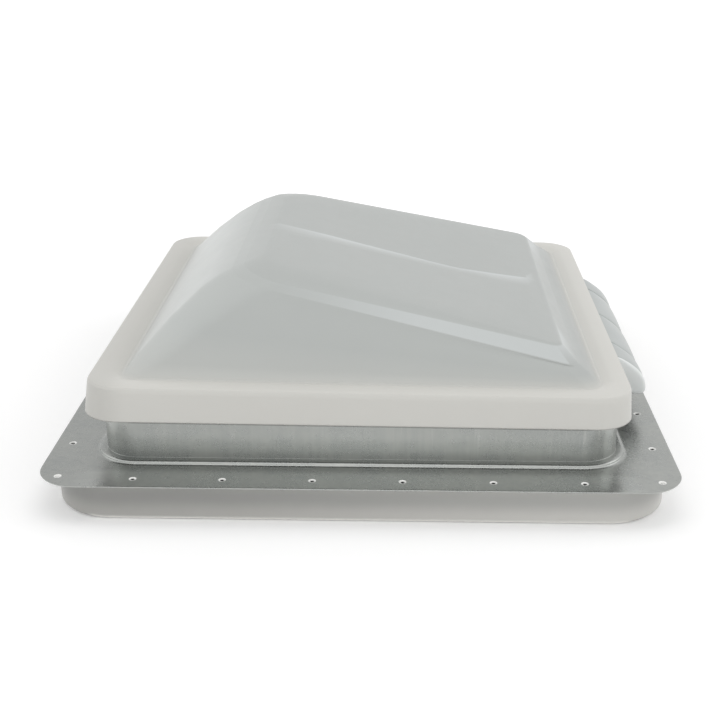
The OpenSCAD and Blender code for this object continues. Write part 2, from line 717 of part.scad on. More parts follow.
module crank_knob() {
    r = knob_d / 2;
    color(nylon_white) translate([worm_x, gear_y, 0]) difference() {
        union() {
            translate([0, 0, knob_bottom]) rotate_extrude() {
                square([r - 3, knob_top - 4 - knob_bottom]);
                translate([0, 3]) square([r, knob_top - 7 - knob_bottom]);
                translate([r - 3, 3]) circle(3);
            }
            translate([0, 0, knob_top - 4 - touch]) cylinder(r = 6.5, h = 4);
        }
        for (k = [0:9]) rotate([0, 0, 36 * k]) translate([r + 1.6, 0, knob_bottom - 1])
            cylinder(r = 4, h = knob_top - knob_bottom);
        translate([0, 0, knob_bottom + 5]) cylinder(r = shaft_r + 0.02, h = 30);
        translate([0, 0, knob_bottom - 1]) cylinder(r = 1.6, h = 8);
        translate([0, 0, knob_bottom - 1]) cylinder(r = 4, h = 3.4);
    }
}

module knob_screw() {
    color(steel_grey) translate([worm_x, gear_y, 0]) {
        translate([0, 0, knob_bottom + 2.4]) cylinder(r = 1.2, h = 11);
        translate([0, 0, knob_bottom + 0.8]) cylinder(r = 3.4, h = 1.6);
    }
}

module garnish() {
    bottom = -garnish_h;
    ledge = bottom + ledge_z;
    color(trim_grey) difference() {
        union() {
            swept_frame(garnish_c, garnish_c) {
                translate([garnish_corner_r - garnish_t, bottom + garnish_edge_r])
                    square([garnish_t, garnish_h + garnish_top - garnish_edge_r]);
                intersection() {
                    difference() {
                        translate([garnish_corner_r - garnish_edge_r, bottom + garnish_edge_r]) circle(garnish_edge_r);
                        translate([garnish_corner_r - garnish_edge_r, bottom + garnish_edge_r])
                            circle(garnish_edge_r - garnish_t);
                    }
                    translate([garnish_corner_r - garnish_edge_r, bottom]) square(garnish_edge_r);
                }
                translate([step_half - garnish_c, bottom])
                    square([garnish_half - garnish_edge_r - step_half, garnish_t]);
                translate([step_half - garnish_c, bottom]) square([garnish_t, ledge_z + garnish_t]);
            }
            translate([0, 0, ledge]) linear_extrude(garnish_t) difference() {
                round_square(garnish_c, step_half - garnish_c + 1);
                round_square(neck_c, neck_half - neck_c - garnish_t);
            }
            translate([0, 0, ledge]) linear_extrude(-1 - ledge) difference() {
                round_square(neck_c, neck_half - neck_c);
                round_square(neck_c, neck_half - neck_c - garnish_t);
            }
            for (turn = [0:3], s = [-1, 1]) rotate([0, 0, 90 * turn]) {
                translate([ceiling_u, s * ceiling_y, bottom]) cylinder(r = 5, h = garnish_h - 0.6);
                translate([neck_half - garnish_t - 3, s * 60 - 5, screen_top + 0.3]) cube([4, 10, 2]);
            }
        }
        for (turn = [0:3], s = [-1, 1]) rotate([0, 0, 90 * turn])
            translate([ceiling_u, s * ceiling_y, bottom - 1]) cylinder(d = ceiling_hole_d, h = garnish_h + 2);
        for (sx = [-1, 1], sy = [-1, 1])
            translate([sx * clip_u, sy * clip_y, ledge - 1]) cylinder(r = clip_screw_r + 0.02, h = 6);
    }
}

module screen_frame() {
    color(nylon_white) difference() {
        union() {
            swept_frame(screen_c, screen_c) {
                translate([10.5, screen_bottom]) square([6.5, screen_top - screen_bottom]);
                translate([5, screen_bottom]) square([6, screen_lip - screen_bottom]);
            }
            translate([worm_x - port_x, port_y0, screen_bottom])
                cube([2 * port_x, screen_half - 9 - port_y0, screen_lip - screen_bottom]);
            translate([worm_x, gear_y, screen_bottom]) cylinder(r = port_r + 2.5, h = screen_top - screen_bottom);
        }
        translate([worm_x, gear_y, screen_bottom - 1]) cylinder(r = port_r, h = 10);
    }
}

// A strand of the net along X at a height y, or the same along Y
module strand(y, along_x) {
    rotate([0, 0, along_x ? 0 : 90]) translate([-mesh_half, y - strand_w / 2, 0])
        cube([2 * mesh_half, strand_w, mesh_t / 2]);
}

module screen_mesh() {
    pitch = 2 * strand_half / mesh_n;
    color([0.35, 0.35, 0.36]) translate([0, 0, screen_lip + touch / 2]) difference() {
        for (i = [0:mesh_n]) {
            strand(i * pitch - strand_half, true);
            translate([0, 0, mesh_t / 2 + touch / 4]) strand(i * pitch - strand_half, false);
        }
        translate([worm_x - port_x - 0.5, port_y0 - 0.5, -1])
            cube([2 * port_x + 1, mesh_half - port_y0 + 2, mesh_t + 2]);
    }
}

module screen_cord() {
    cut = port_x + 1;
    color([0.15, 0.15, 0.15]) difference() {
        translate([0, 0, screen_lip + mesh_t + 2 * touch]) swept_frame(screen_c, screen_c)
            translate([6.5, 0]) square([3.6, 2.6]);
        translate([worm_x - cut, port_y0, screen_bottom]) cube([2 * cut, 80, 10]);
    }
}

module screen_clip(sx, sy) {
    color(nylon_white) translate([sx * clip_u, sy * clip_y, clip_top - clip_t]) difference() {
        linear_extrude(clip_t) {
            circle(4.8);
            translate([-sx * 13, 0]) circle(4.8);
            translate([sx > 0 ? -13 : 0, -4.8]) square([13, 9.6]);
        }
        translate([0, 0, -1]) cylinder(r = clip_screw_r + 0.05, h = 6);
    }
}

module screen_clip_1() {
    screen_clip(1, 1);
}

module screen_clip_2() {
    screen_clip(-1, 1);
}

module screen_clip_3() {
    screen_clip(-1, -1);
}

module screen_clip_4() {
    screen_clip(1, -1);
}

module clip_screws() {
    color(steel_grey) for (sx = [-1, 1], sy = [-1, 1])
        translate([sx * clip_u, sy * clip_y, clip_top - clip_t - 0.1]) {
            cylinder(r = clip_screw_r, h = clip_t + 3);
            translate([0, 0, -1.6]) cylinder(r = 3, h = 1.6);
        }
}

base_pan();
hinge_bracket();
hinge_rivets();
hinge_pin();
pin_clip();
lid();
hinge_hood();
lid_seal();
lift_rail();
rail_pads();
rail_screws();
lift_arm();
arm_sector();
arm_roller();
roller_pin();
roller_washer();
operator_body();
operator_rivets();
pivot_pin();
pivot_clip();
worm();
worm_shaft();
upper_bush();
lower_bush();
crank_knob();
knob_screw();
garnish();
screen_frame();
screen_mesh();
screen_cord();
screen_clip_1();
screen_clip_2();
screen_clip_3();
screen_clip_4();
clip_screws();
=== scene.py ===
"""Caravan roof vent: the visual model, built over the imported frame."""

import logging
import math
from dataclasses import astuple, dataclass, replace
from enum import Enum

import bmesh
import bpy
from mathutils import Matrix, Vector


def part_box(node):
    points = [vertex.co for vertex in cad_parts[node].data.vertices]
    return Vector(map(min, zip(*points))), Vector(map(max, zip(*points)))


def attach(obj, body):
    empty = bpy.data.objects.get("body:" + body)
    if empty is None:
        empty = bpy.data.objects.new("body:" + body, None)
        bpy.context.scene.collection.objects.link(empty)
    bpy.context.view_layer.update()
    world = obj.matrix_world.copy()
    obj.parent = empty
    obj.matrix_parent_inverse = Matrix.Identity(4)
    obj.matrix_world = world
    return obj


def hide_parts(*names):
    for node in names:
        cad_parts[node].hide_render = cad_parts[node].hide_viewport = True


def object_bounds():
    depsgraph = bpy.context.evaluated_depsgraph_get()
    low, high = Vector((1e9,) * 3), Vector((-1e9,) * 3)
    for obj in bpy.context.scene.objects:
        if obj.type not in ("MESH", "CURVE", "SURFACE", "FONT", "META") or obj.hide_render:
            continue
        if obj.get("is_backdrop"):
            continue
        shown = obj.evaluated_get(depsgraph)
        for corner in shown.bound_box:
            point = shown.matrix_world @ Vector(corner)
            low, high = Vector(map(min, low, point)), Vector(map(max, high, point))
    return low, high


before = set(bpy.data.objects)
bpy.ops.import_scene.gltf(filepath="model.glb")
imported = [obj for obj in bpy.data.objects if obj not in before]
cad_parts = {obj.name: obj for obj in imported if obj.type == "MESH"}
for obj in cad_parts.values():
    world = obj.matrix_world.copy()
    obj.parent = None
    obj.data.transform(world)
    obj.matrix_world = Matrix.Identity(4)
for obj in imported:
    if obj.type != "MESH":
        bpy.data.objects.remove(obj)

log = logging.getLogger("roof_vent")

# Kinds of values

Colour = tuple[float, float, float, float]
Span = tuple[float, float, float, float]
Pair = tuple[float, float]
Place = tuple[float, float, float]
Pairs = tuple[Pair, ...]
Node = bpy.types.Node
Socket = bpy.types.NodeSocket
Piece = bpy.types.Object
Edges = list[bmesh.types.BMEdge]

# Shared values: lengths in millimetres unless a name says otherwise, angles in degrees

MM = 0.001
ARC_STEPS = 10
SIDE_CUTS = 11
HOLE_SIDES = 24
TOUCHING = 0.001
WELD_METRES = 0.00001
SMOOTH_BELOW = 34.0
BREAK_ABOVE = 38.0
FLAT_WEIGHT = 80
PRESSED_MARK = 1  # the material number that faces carry until they are pressed
TABLE_GAP_METRES = 0.0002
WHITE: Colour = (1.0, 1.0, 1.0, 1.0)
VECTOR = "NodeSocketVector"
FLOAT = "NodeSocketFloat"
MIX_SHARE, MIX_FIRST, MIX_SECOND, MIX_RESULT = 0, 6, 7, 2


class Axis(Enum):
    """The way a brushed or drawn streak runs."""

    ALONG_X = (0.04, 1.0, 1.0)
    UPRIGHT = (1.0, 1.0, 0.04)


def linear(red: int, green: int, blue: int) -> Colour:
    """Turns a colour read on a screen into the linear one a shader takes.

    Args:
        red: The red level, 0 to 255.
        green: The green level, 0 to 255.
        blue: The blue level, 0 to 255.

    Returns:
        The linear colour with full alpha.
    """
    levels = []
    for level in (red, green, blue):
        share = level / 255
        levels.append(share / 12.92 if share <= 0.04045 else ((share + 0.055) / 1.055) ** 2.4)
    return (levels[0], levels[1], levels[2], 1.0)


def mix(low: float, high: float, share: float) -> float:
    """Returns the value that lies a share of the way from low to high."""
    return low + (high - low) * share


# Node graphs


class Graph:
    """A shader node tree while it is being wired."""

    def __init__(self, tree: bpy.types.NodeTree) -> None:
        """Starts from an empty tree."""
        self.tree = tree
        tree.nodes.clear()

    def add(self, kind: str, **settings: object) -> Node:
        """Adds a node.

        Args:
            kind: The node's type name.
            settings: Properties to set on the node.

        Returns:
            The new node.
        """
        node = self.tree.nodes.new(kind)
        for name, value in settings.items():
            setattr(node, name, value)
        return node

    def feed(self, socket: Socket, source: object) -> None:
        """Gives a socket a link or a constant.

        Args:
            socket: The input to set.
            source: Another node's output, or a plain value.
        """
        if isinstance(source, Socket):
            self.tree.links.new(source, socket)
        else:
            socket.default_value = source

    def math(self, operation: str, first: object, second: object = 0.0, clamp: bool = False) -> Socket:
        """Adds a math node.

        Args:
            operation: The node's operation.
            first: Its first input.
            second: Its second input.
            clamp: Whether the result is held between 0 and 1.

        Returns:
            The result.
        """
        node = self.add("ShaderNodeMath", operation=operation, use_clamp=clamp)
        self.feed(node.inputs[0], first)
        self.feed(node.inputs[1], second)
        return node.outputs[0]

    def times(self, first: object, second: object) -> Socket:
        """Returns the product of two values."""
        return self.math("MULTIPLY", first, second)

    def plus(self, first: object, second: object) -> Socket:
        """Returns the sum of two values."""
        return self.math("ADD", first, second)

    def minus(self, first: object, second: object) -> Socket:
        """Returns the first value less the second."""
        return self.math("SUBTRACT", first, second)

    def unsigned(self, value: Socket) -> Socket:
        """Returns a value without its sign."""
        return self.math("ABSOLUTE", value)

    def between(self, first: object, second: object, share: object) -> Socket:
        """Returns the value that lies a share of the way from the first to the second."""
        return self.plus(first, self.times(share, self.minus(second, first)))

    def span(self, value: object, low: float, high: float, to_low: float = 0.0, to_high: float = 1.0) -> Socket:
        """Maps a value smoothly from one range to another.

        Args:
            value: The value to map.
            low: The start of its range.
            high: The end of its range.
            to_low: What the start becomes.
            to_high: What the end becomes.

        Returns:
            The mapped value.
        """
        node = self.add("ShaderNodeMapRange", interpolation_type="SMOOTHSTEP")
        for index, entry in enumerate((value, low, high, to_low, to_high)):
            self.feed(node.inputs[index], entry)
        return node.outputs[0]

    def blend(self, share: object, first: object, second: object, mode: str = "MIX") -> Socket:
        """Mixes two colours.

        Args:
            share: How much of the second is taken.
            first: The first colour.
            second: The second colour.
            mode: The way they are blended.

        Returns:
            The mixed colour.
        """
        node = self.add("ShaderNodeMix", data_type="RGBA", blend_type=mode)
        for index, entry in ((MIX_SHARE, share), (MIX_FIRST, first), (MIX_SECOND, second)):
            self.feed(node.inputs[index], entry)
        return node.outputs[MIX_RESULT]

    def tinted(self, colour: object, shade: Socket) -> Socket:
        """Returns a colour times a shade."""
        return self.blend(1.0, colour, shade, "MULTIPLY")

    def noise(self, vector: object, scale: object, detail: float, rough: float = 0.55) -> Socket:
        """Adds a noise texture.

        Args:
            vector: The place it is read at.
            scale: Its scale per metre.
            detail: Its octaves.
            rough: How strong the finer octaves are.

        Returns:
            The noise value.
        """
        node = self.add("ShaderNodeTexNoise")
        self.feed(node.inputs["Vector"], vector)
        self.feed(node.inputs["Scale"], scale)
        node.inputs["Detail"].default_value = detail
        node.inputs["Roughness"].default_value = rough
        return node.outputs[0]

    def group(self, tree: bpy.types.NodeTree, **inputs: object) -> Socket:
        """Adds a shared node group.

        Args:
            tree: The group.
            inputs: What each of its inputs takes.

        Returns:
            The group's one output.
        """
        node = self.add("ShaderNodeGroup", node_tree=tree)
        for name, value in inputs.items():
            self.feed(node.inputs[name], value)
        return node.outputs[0]

    def split(self, vector: Socket) -> tuple[Socket, Socket, Socket]:
        """Takes a vector apart.

        Args:
            vector: The vector.

        Returns:
            Its parts along x, y and z.
        """
        node = self.add("ShaderNodeSeparateXYZ")
        self.feed(node.inputs[0], vector)
        return tuple(node.outputs)

    def mark(self, name: str) -> Socket:
        """Returns what a piece's own attribute says."""
        return self.add("ShaderNodeAttribute", attribute_name=name).outputs["Fac"]


class SharedEffects:
    """The node groups that several finishes share."""

    def __init__(self) -> None:
        """Makes each group once."""
        self.mottle = self._mottle()
        self.streaks = self._streaks()
        self.grain = self._grain()
        self.settled = self._settled()

    @staticmethod
    def _start(name: str, inputs: dict[str, str], output: str) -> tuple[Graph, Node, Node]:
        """Starts a group with its sockets.

        Args:
            name: The group's name.
            inputs: Each input's name and socket type.
            output: The name of its one output value.

        Returns:
            The graph, its input node and its output node.
        """
        tree = bpy.data.node_groups.new(name, "ShaderNodeTree")
        for label, kind in inputs.items():
            tree.interface.new_socket(label, in_out="INPUT", socket_type=kind)
        tree.interface.new_socket(output, in_out="OUTPUT", socket_type=FLOAT)
        graph = Graph(tree)
        return graph, graph.add("NodeGroupInput"), graph.add("NodeGroupOutput")

    def _mottle(self) -> bpy.types.NodeTree:
        """Makes soft cloudy patches at two scales.

        Returns:
            The group's tree.
        """
        graph, start, end = self._start("mottle", {"Vector": VECTOR, "Scale": FLOAT}, "Cloud")
        broad = graph.noise(start.outputs["Vector"], start.outputs["Scale"], 3.0)
        finer = graph.times(start.outputs["Scale"], 4.3)
        small = graph.noise(start.outputs["Vector"], finer, 5.0, 0.6)
        weighted = graph.plus(graph.times(broad, 0.6), graph.times(small, 0.4))
        graph.feed(end.inputs["Cloud"], graph.span(weighted, 0.34, 0.66))
        return graph.tree

    def _streaks(self) -> bpy.types.NodeTree:
        """Makes drawn streaks, stretched by the vector it is given.

        Returns:
            The group's tree.
        """
        inputs = {"Vector": VECTOR, "Stretch": VECTOR, "Scale": FLOAT}
        graph, start, end = self._start("streaks", inputs, "Streak")
        product = graph.add("ShaderNodeVectorMath", operation="MULTIPLY")
        graph.feed(product.inputs[0], start.outputs["Vector"])
        graph.feed(product.inputs[1], start.outputs["Stretch"])
        value = graph.noise(product.outputs[0], start.outputs["Scale"], 6.0, 0.6)
        graph.feed(end.inputs["Streak"], graph.span(value, 0.3, 0.7))
        return graph.tree

    def _grain(self) -> bpy.types.NodeTree:
        """Makes the fine pebbled skin of a moulded surface, as a height.

        Returns:
            The group's tree.
        """
        graph, start, end = self._start("grain", {"Vector": VECTOR, "Scale": FLOAT}, "Height")
        cells = graph.add("ShaderNodeTexVoronoi", feature="SMOOTH_F1")
        graph.feed(cells.inputs["Vector"], start.outputs["Vector"])
        graph.feed(cells.inputs["Scale"], start.outputs["Scale"])
        fine = graph.noise(start.outputs["Vector"], graph.times(start.outputs["Scale"], 2.1), 3.0)
        height = graph.plus(graph.times(cells.outputs["Distance"], 0.5), graph.times(fine, 0.5))
        graph.feed(end.inputs["Height"], height)
        return graph.tree

    def _settled(self) -> bpy.types.NodeTree:
        """Finds where dust settles: faces that look up, in patches.

        Returns:
            The group's tree.
        """
        inputs = {"Vector": VECTOR, "Normal": VECTOR, "Scale": FLOAT}
        graph, start, end = self._start("settled_dust", inputs, "Dust")
        upward = graph.span(graph.split(start.outputs["Normal"])[2], 0.55, 1.0)
        drift = graph.noise(start.outputs["Vector"], start.outputs["Scale"], 6.0, 0.65)
        graph.feed(end.inputs["Dust"], graph.times(upward, graph.span(drift, 0.42, 0.75)))
        return graph.tree


class Paint(Graph):
    """The graph of one material, with its surface shader and the effects it may use."""

    def __init__(self, material: bpy.types.Material, effects: SharedEffects | None = None) -> None:
        """Starts with a plain surface.

        Args:
            material: The material to wire.
            effects: The shared effects, where the material uses any.
        """
        material.use_nodes = True
        super().__init__(material.node_tree)
        self.effects = effects
        self.shader = self.add("ShaderNodeBsdfPrincipled")
        out = self.add("ShaderNodeOutputMaterial")
        self.feed(out.inputs["Surface"], self.shader.outputs[0])
        spot = self.add("ShaderNodeTexCoord")
        self.place, self.facing = spot.outputs["Object"], spot.outputs["Normal"]

    def give(self, name: str, source: object) -> None:
        """Gives one of the shader's inputs a link or a constant."""
        self.feed(self.shader.inputs[name], source)

    def relief(self, height: Socket, depth: float, strength: float) -> None:
        """Adds a bump to the shader.

        Args:
            height: The height to follow.
            depth: How deep a full step is, in metres.
            strength: How much of it shows.
        """
        bump = self.add("ShaderNodeBump")
        bump.inputs["Strength"].default_value = strength
        bump.inputs["Distance"].default_value = depth
        self.feed(bump.inputs["Height"], height)
        self.give("Normal", bump.outputs[0])

    def cloud(self, scale: float) -> Socket:
        """Returns soft patches."""
        return self.group(self.effects.mottle, Vector=self.place, Scale=scale)

    def streak(self, way: Axis, scale: float) -> Socket:
        """Returns drawn streaks that run one way."""
        return self.group(self.effects.streaks, Vector=self.place, Stretch=way.value, Scale=scale)

    def grain(self, scale: float) -> Socket:
        """Returns the height of a moulded skin."""
        return self.group(self.effects.grain, Vector=self.place, Scale=scale)

    def dust(self, scale: float) -> Socket:
        """Returns where dust lies."""
        return self.group(self.effects.settled, Vector=self.place, Normal=self.facing, Scale=scale)


# Finishes: scales are per metre, places in metres, and a bump is a depth in metres and a strength


@dataclass(frozen=True)
class Finish:
    """A surface finish, with the record's slot it belongs to."""

    name: str
    slot: str
    effects: SharedEffects

    def made(self) -> bpy.types.Material:
        """Makes the material.

        Returns:
            The material, wired.
        """
        material = bpy.data.materials.new(self.name)
        self.mix_paint(Paint(material, self.effects))
        return material

    def mix_paint(self, paint: Paint) -> None:
        """Wires the finish into the shader.

        Args:
            paint: The material's graph.
        """
        raise NotImplementedError


@dataclass(frozen=True)
class MilkPlastic(Finish):
    """The lid's satin milky acrylic: greyer where the dome is thin, whiter on its rim, with painted light and shade: by
    which way a face turns, on the rim's free side, along the crease and shoulder rib, and on the hood's end.
    """

    body: Colour = linear(176, 179, 177)
    rim: Colour = linear(207, 206, 201)
    # the colour of painted light: the highlight along the crease and rib, and the hood's lit end
    painted_light: Colour = linear(200, 204, 204)
    dirt: Colour = linear(176, 172, 160)
    # painted shade: how dark the rim is painted toward its free side, and where
    painted_rim_shade: float = 0.89
    rim_side: Pair = (-0.185, -0.16)
    free_light: Span = (-0.75, 0.05, 1.19, 1.0)
    near_light: Span = (-0.8, -0.1, 1.07, 1.0)
    cloud_scale: float = 9.0
    cloud_shade: Pair = (0.995, 1.005)
    dirt_scale: float = 38.0
    dirt_share: float = 0.025
    scuff_scale: float = 60.0
    gloss: float = 0.36
    smoother: float = 0.02
    rougher: float = 0.03
    refraction: float = 1.49
    shine: float = 0.16
    grain_scale: float = 420.0
    bump: Pair = (0.00004, 0.35)

    def mix_paint(self, paint: Paint) -> None:
        """Wires the milky plastic into the shader.

        Args:
            paint: The material's graph.
        """
        rim_mark, painted_light_mark = paint.mark("rim_share"), paint.mark("painted_light_share")
        along = paint.split(paint.place)[0]
        turn_x, turn_y, _ = paint.split(paint.facing)
        # painted light: faces turned toward the free side and toward the near side are painted lighter
        lit = paint.times(paint.span(turn_x, *self.free_light), paint.span(turn_y, *self.near_light))
        body = paint.tinted(self.body, lit)
        # painted shade: the rim is painted darker toward its free side
        rim = paint.tinted(self.rim, paint.span(along, *self.rim_side, self.painted_rim_shade, 1.0))
        # painted highlight along the crease and shoulder rib, and painted light on the hood's end
        tint = paint.blend(painted_light_mark, paint.blend(rim_mark, body, rim), self.painted_light)
        shade = paint.span(paint.cloud(self.cloud_scale), 0.0, 1.0, *self.cloud_shade)
        varied = paint.tinted(tint, shade)
        dust = paint.times(paint.dust(self.dirt_scale), self.dirt_share)
        paint.give("Base Color", paint.blend(dust, varied, self.dirt))
        scuff = paint.noise(paint.place, self.scuff_scale, 6.0, 0.65)
        paint.give("Roughness", paint.span(scuff, 0.3, 0.7, self.gloss - self.smoother, self.gloss + self.rougher))
        paint.give("IOR", self.refraction)
        paint.give("Specular IOR Level", self.shine)
        paint.relief(paint.grain(self.grain_scale), *self.bump)


@dataclass(frozen=True)
class GalvanisedSheet(Finish):
    """Zinc-coated sheet steel: clouded, drawn upright on the collar, with painted highlights round its holes and
    elsewhere and a painted shadow under the lid's lip.
    """

    dark: Colour = linear(168, 171, 169)
    pale: Colour = linear(183, 185, 181)
    scratch: Colour = linear(214, 214, 210)
    # the painted highlight round each hole
    hole_highlight: Colour = linear(250, 250, 247)
    cloud_scale: float = 30.0
    cloud_share: float = 0.6
    drawn_scale: float = 220.0
    drawn_share: float = 0.4
    scratch_scale: float = 520.0
    scratch_share: float = 0.5
    patch_scale: float = 7.0
    level_faces: Pair = (0.4, 0.9)
    # upright faces darker away from the middle, level faces darker toward the free side
    upright_tone: float = 0.96
    upright_fall: float = 0.45
    level_tone: Span = (-0.2, 0.21, 0.69, 0.8)
    # painted highlight along the front edge of the flange
    front_gleam: Span = (-0.208, -0.199, 0.32, 0.0)
    gleam_width: Span = (0.17, 0.205, 1.0, 0.0)
    # the painted shadow under the lid's lip: where it starts, its slope, its edge, where it fades and how dark it is
    shaded: float = 0.0294
    shaded_slope: float = 0.0074
    shaded_edge: float = 0.0012
    shaded_full: float = 0.003
    shaded_end: float = 0.009
    shaded_left: float = 0.2
    shaded_share: float = 0.58
    # the collar darker low down
    low_darkening: Span = (0.005, 0.0145, 0.85, 1.06)
    # painted highlights on the collar's corners and on its foot bead
    corner_highlight_gain: float = 0.4
    bead_highlight: Span = (0.0042, 0.0048, 1.35, 1.0)
    # the collar darker toward its top
    wall_fall: Span = (0.019, 0.029, 1.0, 0.88)
    # how much of the painted hole highlight shows, and how little metal is left there
    hole_highlight_share: float = 0.9
    hole_highlight_metallic: Span = (0.2, 0.9, 0.92, 0.0)
    rub_scale: float = 240.0
    gloss: float = 0.25
    smoother: float = 0.015
    rougher: float = 0.025
    cloud_rough: float = 0.05
    bump: Pair = (0.000012, 0.2)

    def painted_light_and_tone(self, paint: Paint) -> Socket:
        """Says how light or dark the sheet is painted: tone by place and height, painted highlights and a painted
        shadow.

        Args:
            paint: The material's graph.

        Returns:
            The factor its colour is multiplied by.
        """
        x, y, z = paint.split(paint.place)
        turn_x, turn_y, turn_z = paint.split(paint.facing)
        flat = paint.span(turn_z, *self.level_faces)
        # upright faces darker away from the middle, level faces darker toward the free side
        off_middle = paint.unsigned(x)
        upright = paint.minus(self.upright_tone, paint.times(off_middle, self.upright_fall))
        base = paint.between(upright, paint.span(x, *self.level_tone), flat)
        # painted highlight along the front edge of the flange
        gleam = paint.times(paint.span(y, *self.front_gleam), paint.span(off_middle, *self.gleam_width))
        # painted shadow: a dark line on the collar just under the lid's lip, fading out below it
        under = paint.plus(z, paint.times(x, self.shaded_slope))
        line = paint.span(under, self.shaded, self.shaded + self.shaded_edge, 0.0, 1.0)
        full, end = self.shaded + self.shaded_full, self.shaded + self.shaded_end
        painted_light_grade = paint.span(under, full, end, 1.0, self.shaded_left)
        painted_lip_shadow = paint.minus(1.0, paint.times(self.shaded_share, paint.times(line, painted_light_grade)))
        # painted highlights on the collar's corners and on its foot bead
        bend = paint.unsigned(paint.times(turn_x, turn_y))
        corner = paint.plus(1.0, paint.times(bend, self.corner_highlight_gain))
        # the collar darker low down and toward its top
        foot = paint.times(paint.span(z, *self.low_darkening), corner)
        for run in (self.bead_highlight, self.wall_fall):
            foot = paint.times(foot, paint.span(z, *run))
        low = paint.between(foot, 1.0, flat)
        toned_and_shaded = paint.times(paint.times(base, painted_lip_shadow), low)
        return paint.times(toned_and_shaded, paint.plus(1.0, paint.times(flat, gleam)))

    def mix_paint(self, paint: Paint) -> None:
        """Wires the zinc sheet into the shader.

        Args:
            paint: The material's graph.
        """
        cloud = paint.cloud(self.cloud_scale)
        drawn = paint.streak(Axis.UPRIGHT, self.drawn_scale)
        tone = paint.plus(paint.times(cloud, self.cloud_share), paint.times(drawn, self.drawn_share))
        zinc = paint.blend(tone, self.dark, self.pale)
        scored = paint.span(paint.streak(Axis.UPRIGHT, self.scratch_scale), 0.8, 0.96)
        patch = paint.span(paint.noise(paint.place, self.patch_scale, 2.0), 0.5, 0.68)
        score = paint.times(paint.times(scored, patch), self.scratch_share)
        painted_lit = paint.tinted(paint.blend(score, zinc, self.scratch), self.painted_light_and_tone(paint))
        # painted highlight: each hole's dimple is painted near white and not metallic
        hole_highlight = paint.mark("hole_highlight_share")
        paint.give("Base Color", paint.blend(paint.times(hole_highlight, self.hole_highlight_share), painted_lit, self.hole_highlight))
        paint.give("Metallic", paint.span(hole_highlight, *self.hole_highlight_metallic))
        rub = paint.noise(paint.place, self.rub_scale, 6.0, 0.7)
        satin = paint.span(rub, 0.25, 0.75, self.gloss - self.smoother, self.gloss + self.rougher)
        paint.give("Roughness", paint.plus(satin, paint.times(cloud, self.cloud_rough)))
        paint.relief(drawn, *self.bump)


@dataclass(frozen=True)
class PlatedSteel(Finish):
    """Bright zinc-plated steel for pins, rivets, screws and the rail."""

    tint: Colour = linear(150, 150, 146)
    stretch: Axis = Axis.ALONG_X
    drawn_scale: float = 700.0
    drawn_shade: Pair = (0.9, 1.04)
    cloud_scale: float = 110.0
    cloud_shade: Pair = (-0.06, 0.05)
    gloss: float = 0.3
    smoother: float = 0.06
    rougher: float = 0.12
    bump: Pair = (0.00002, 0.4)

    def mix_paint(self, paint: Paint) -> None:
        """Wires the plated steel into the shader.

        Args:
            paint: The material's graph.
        """
        drawn = paint.streak(self.stretch, self.drawn_scale)
        cloud = paint.span(paint.cloud(self.cloud_scale), 0.0, 1.0, *self.cloud_shade)
        shade = paint.plus(paint.span(drawn, 0.0, 1.0, *self.drawn_shade), cloud)
        paint.give("Base Color", paint.tinted(self.tint, shade))
        paint.give("Metallic", 1.0)
        paint.give("Roughness", paint.span(drawn, 0.0, 1.0, self.gloss - self.smoother, self.gloss + self.rougher))
        paint.relief(drawn, *self.bump)


@dataclass(frozen=True)
class CastZinc(Finish):
    """Die-cast zinc with a sandy skin."""

    tint: Colour = linear(148, 149, 150)
    cloud_scale: float = 60.0
    cloud_shade: Pair = (0.82, 1.06)
    metal: float = 0.85
    sand_scale: float = 900.0
    sand_gloss: Span = (0.2, 0.8, 0.42, 0.62)
    bump: Pair = (0.00008, 0.6)

    def mix_paint(self, paint: Paint) -> None:
        """Wires the casting into the shader.

        Args:
            paint: The material's graph.
        """
        shade = paint.span(paint.cloud(self.cloud_scale), 0.0, 1.0, *self.cloud_shade)
        paint.give("Base Color", paint.tinted(self.tint, shade))
        paint.give("Metallic", self.metal)
        sand = paint.grain(self.sand_scale)
        paint.give("Roughness", paint.span(sand, *self.sand_gloss))
        paint.relief(sand, *self.bump)


@dataclass(frozen=True)
class MouldedPlastic(Finish):
    """Pigmented moulded plastic with a fine grained skin."""

    tint: Colour = linear(214, 212, 205)
    dirt: Colour = linear(168, 162, 148)
    cloud_scale: float = 16.0
    cloud_shade: Pair = (0.95, 1.03)
    dirt_scale: float = 70.0
    dirt_share: float = 0.15
    gloss: float = 0.4
    smoother: float = 0.05
    rougher: float = 0.09
    shine: float = 0.5
    grain_scale: float = 600.0
    bump: Pair = (0.00005, 0.45)

    def mix_paint(self, paint: Paint) -> None:
        """Wires the moulded plastic into the shader.

        Args:
            paint: The material's graph.
        """
        shade = paint.span(paint.cloud(self.cloud_scale), 0.0, 1.0, *self.cloud_shade)
        varied = paint.tinted(self.tint, shade)
        dust = paint.times(paint.dust(self.dirt_scale), self.dirt_share)
        paint.give("Base Color", paint.blend(dust, varied, self.dirt))
        skin = paint.grain(self.grain_scale)
        paint.give("Roughness", paint.span(skin, 0.2, 0.8, self.gloss - self.smoother, self.gloss + self.rougher))
        paint.give("Specular IOR Level", self.shine)
        paint.relief(skin, *self.bump)


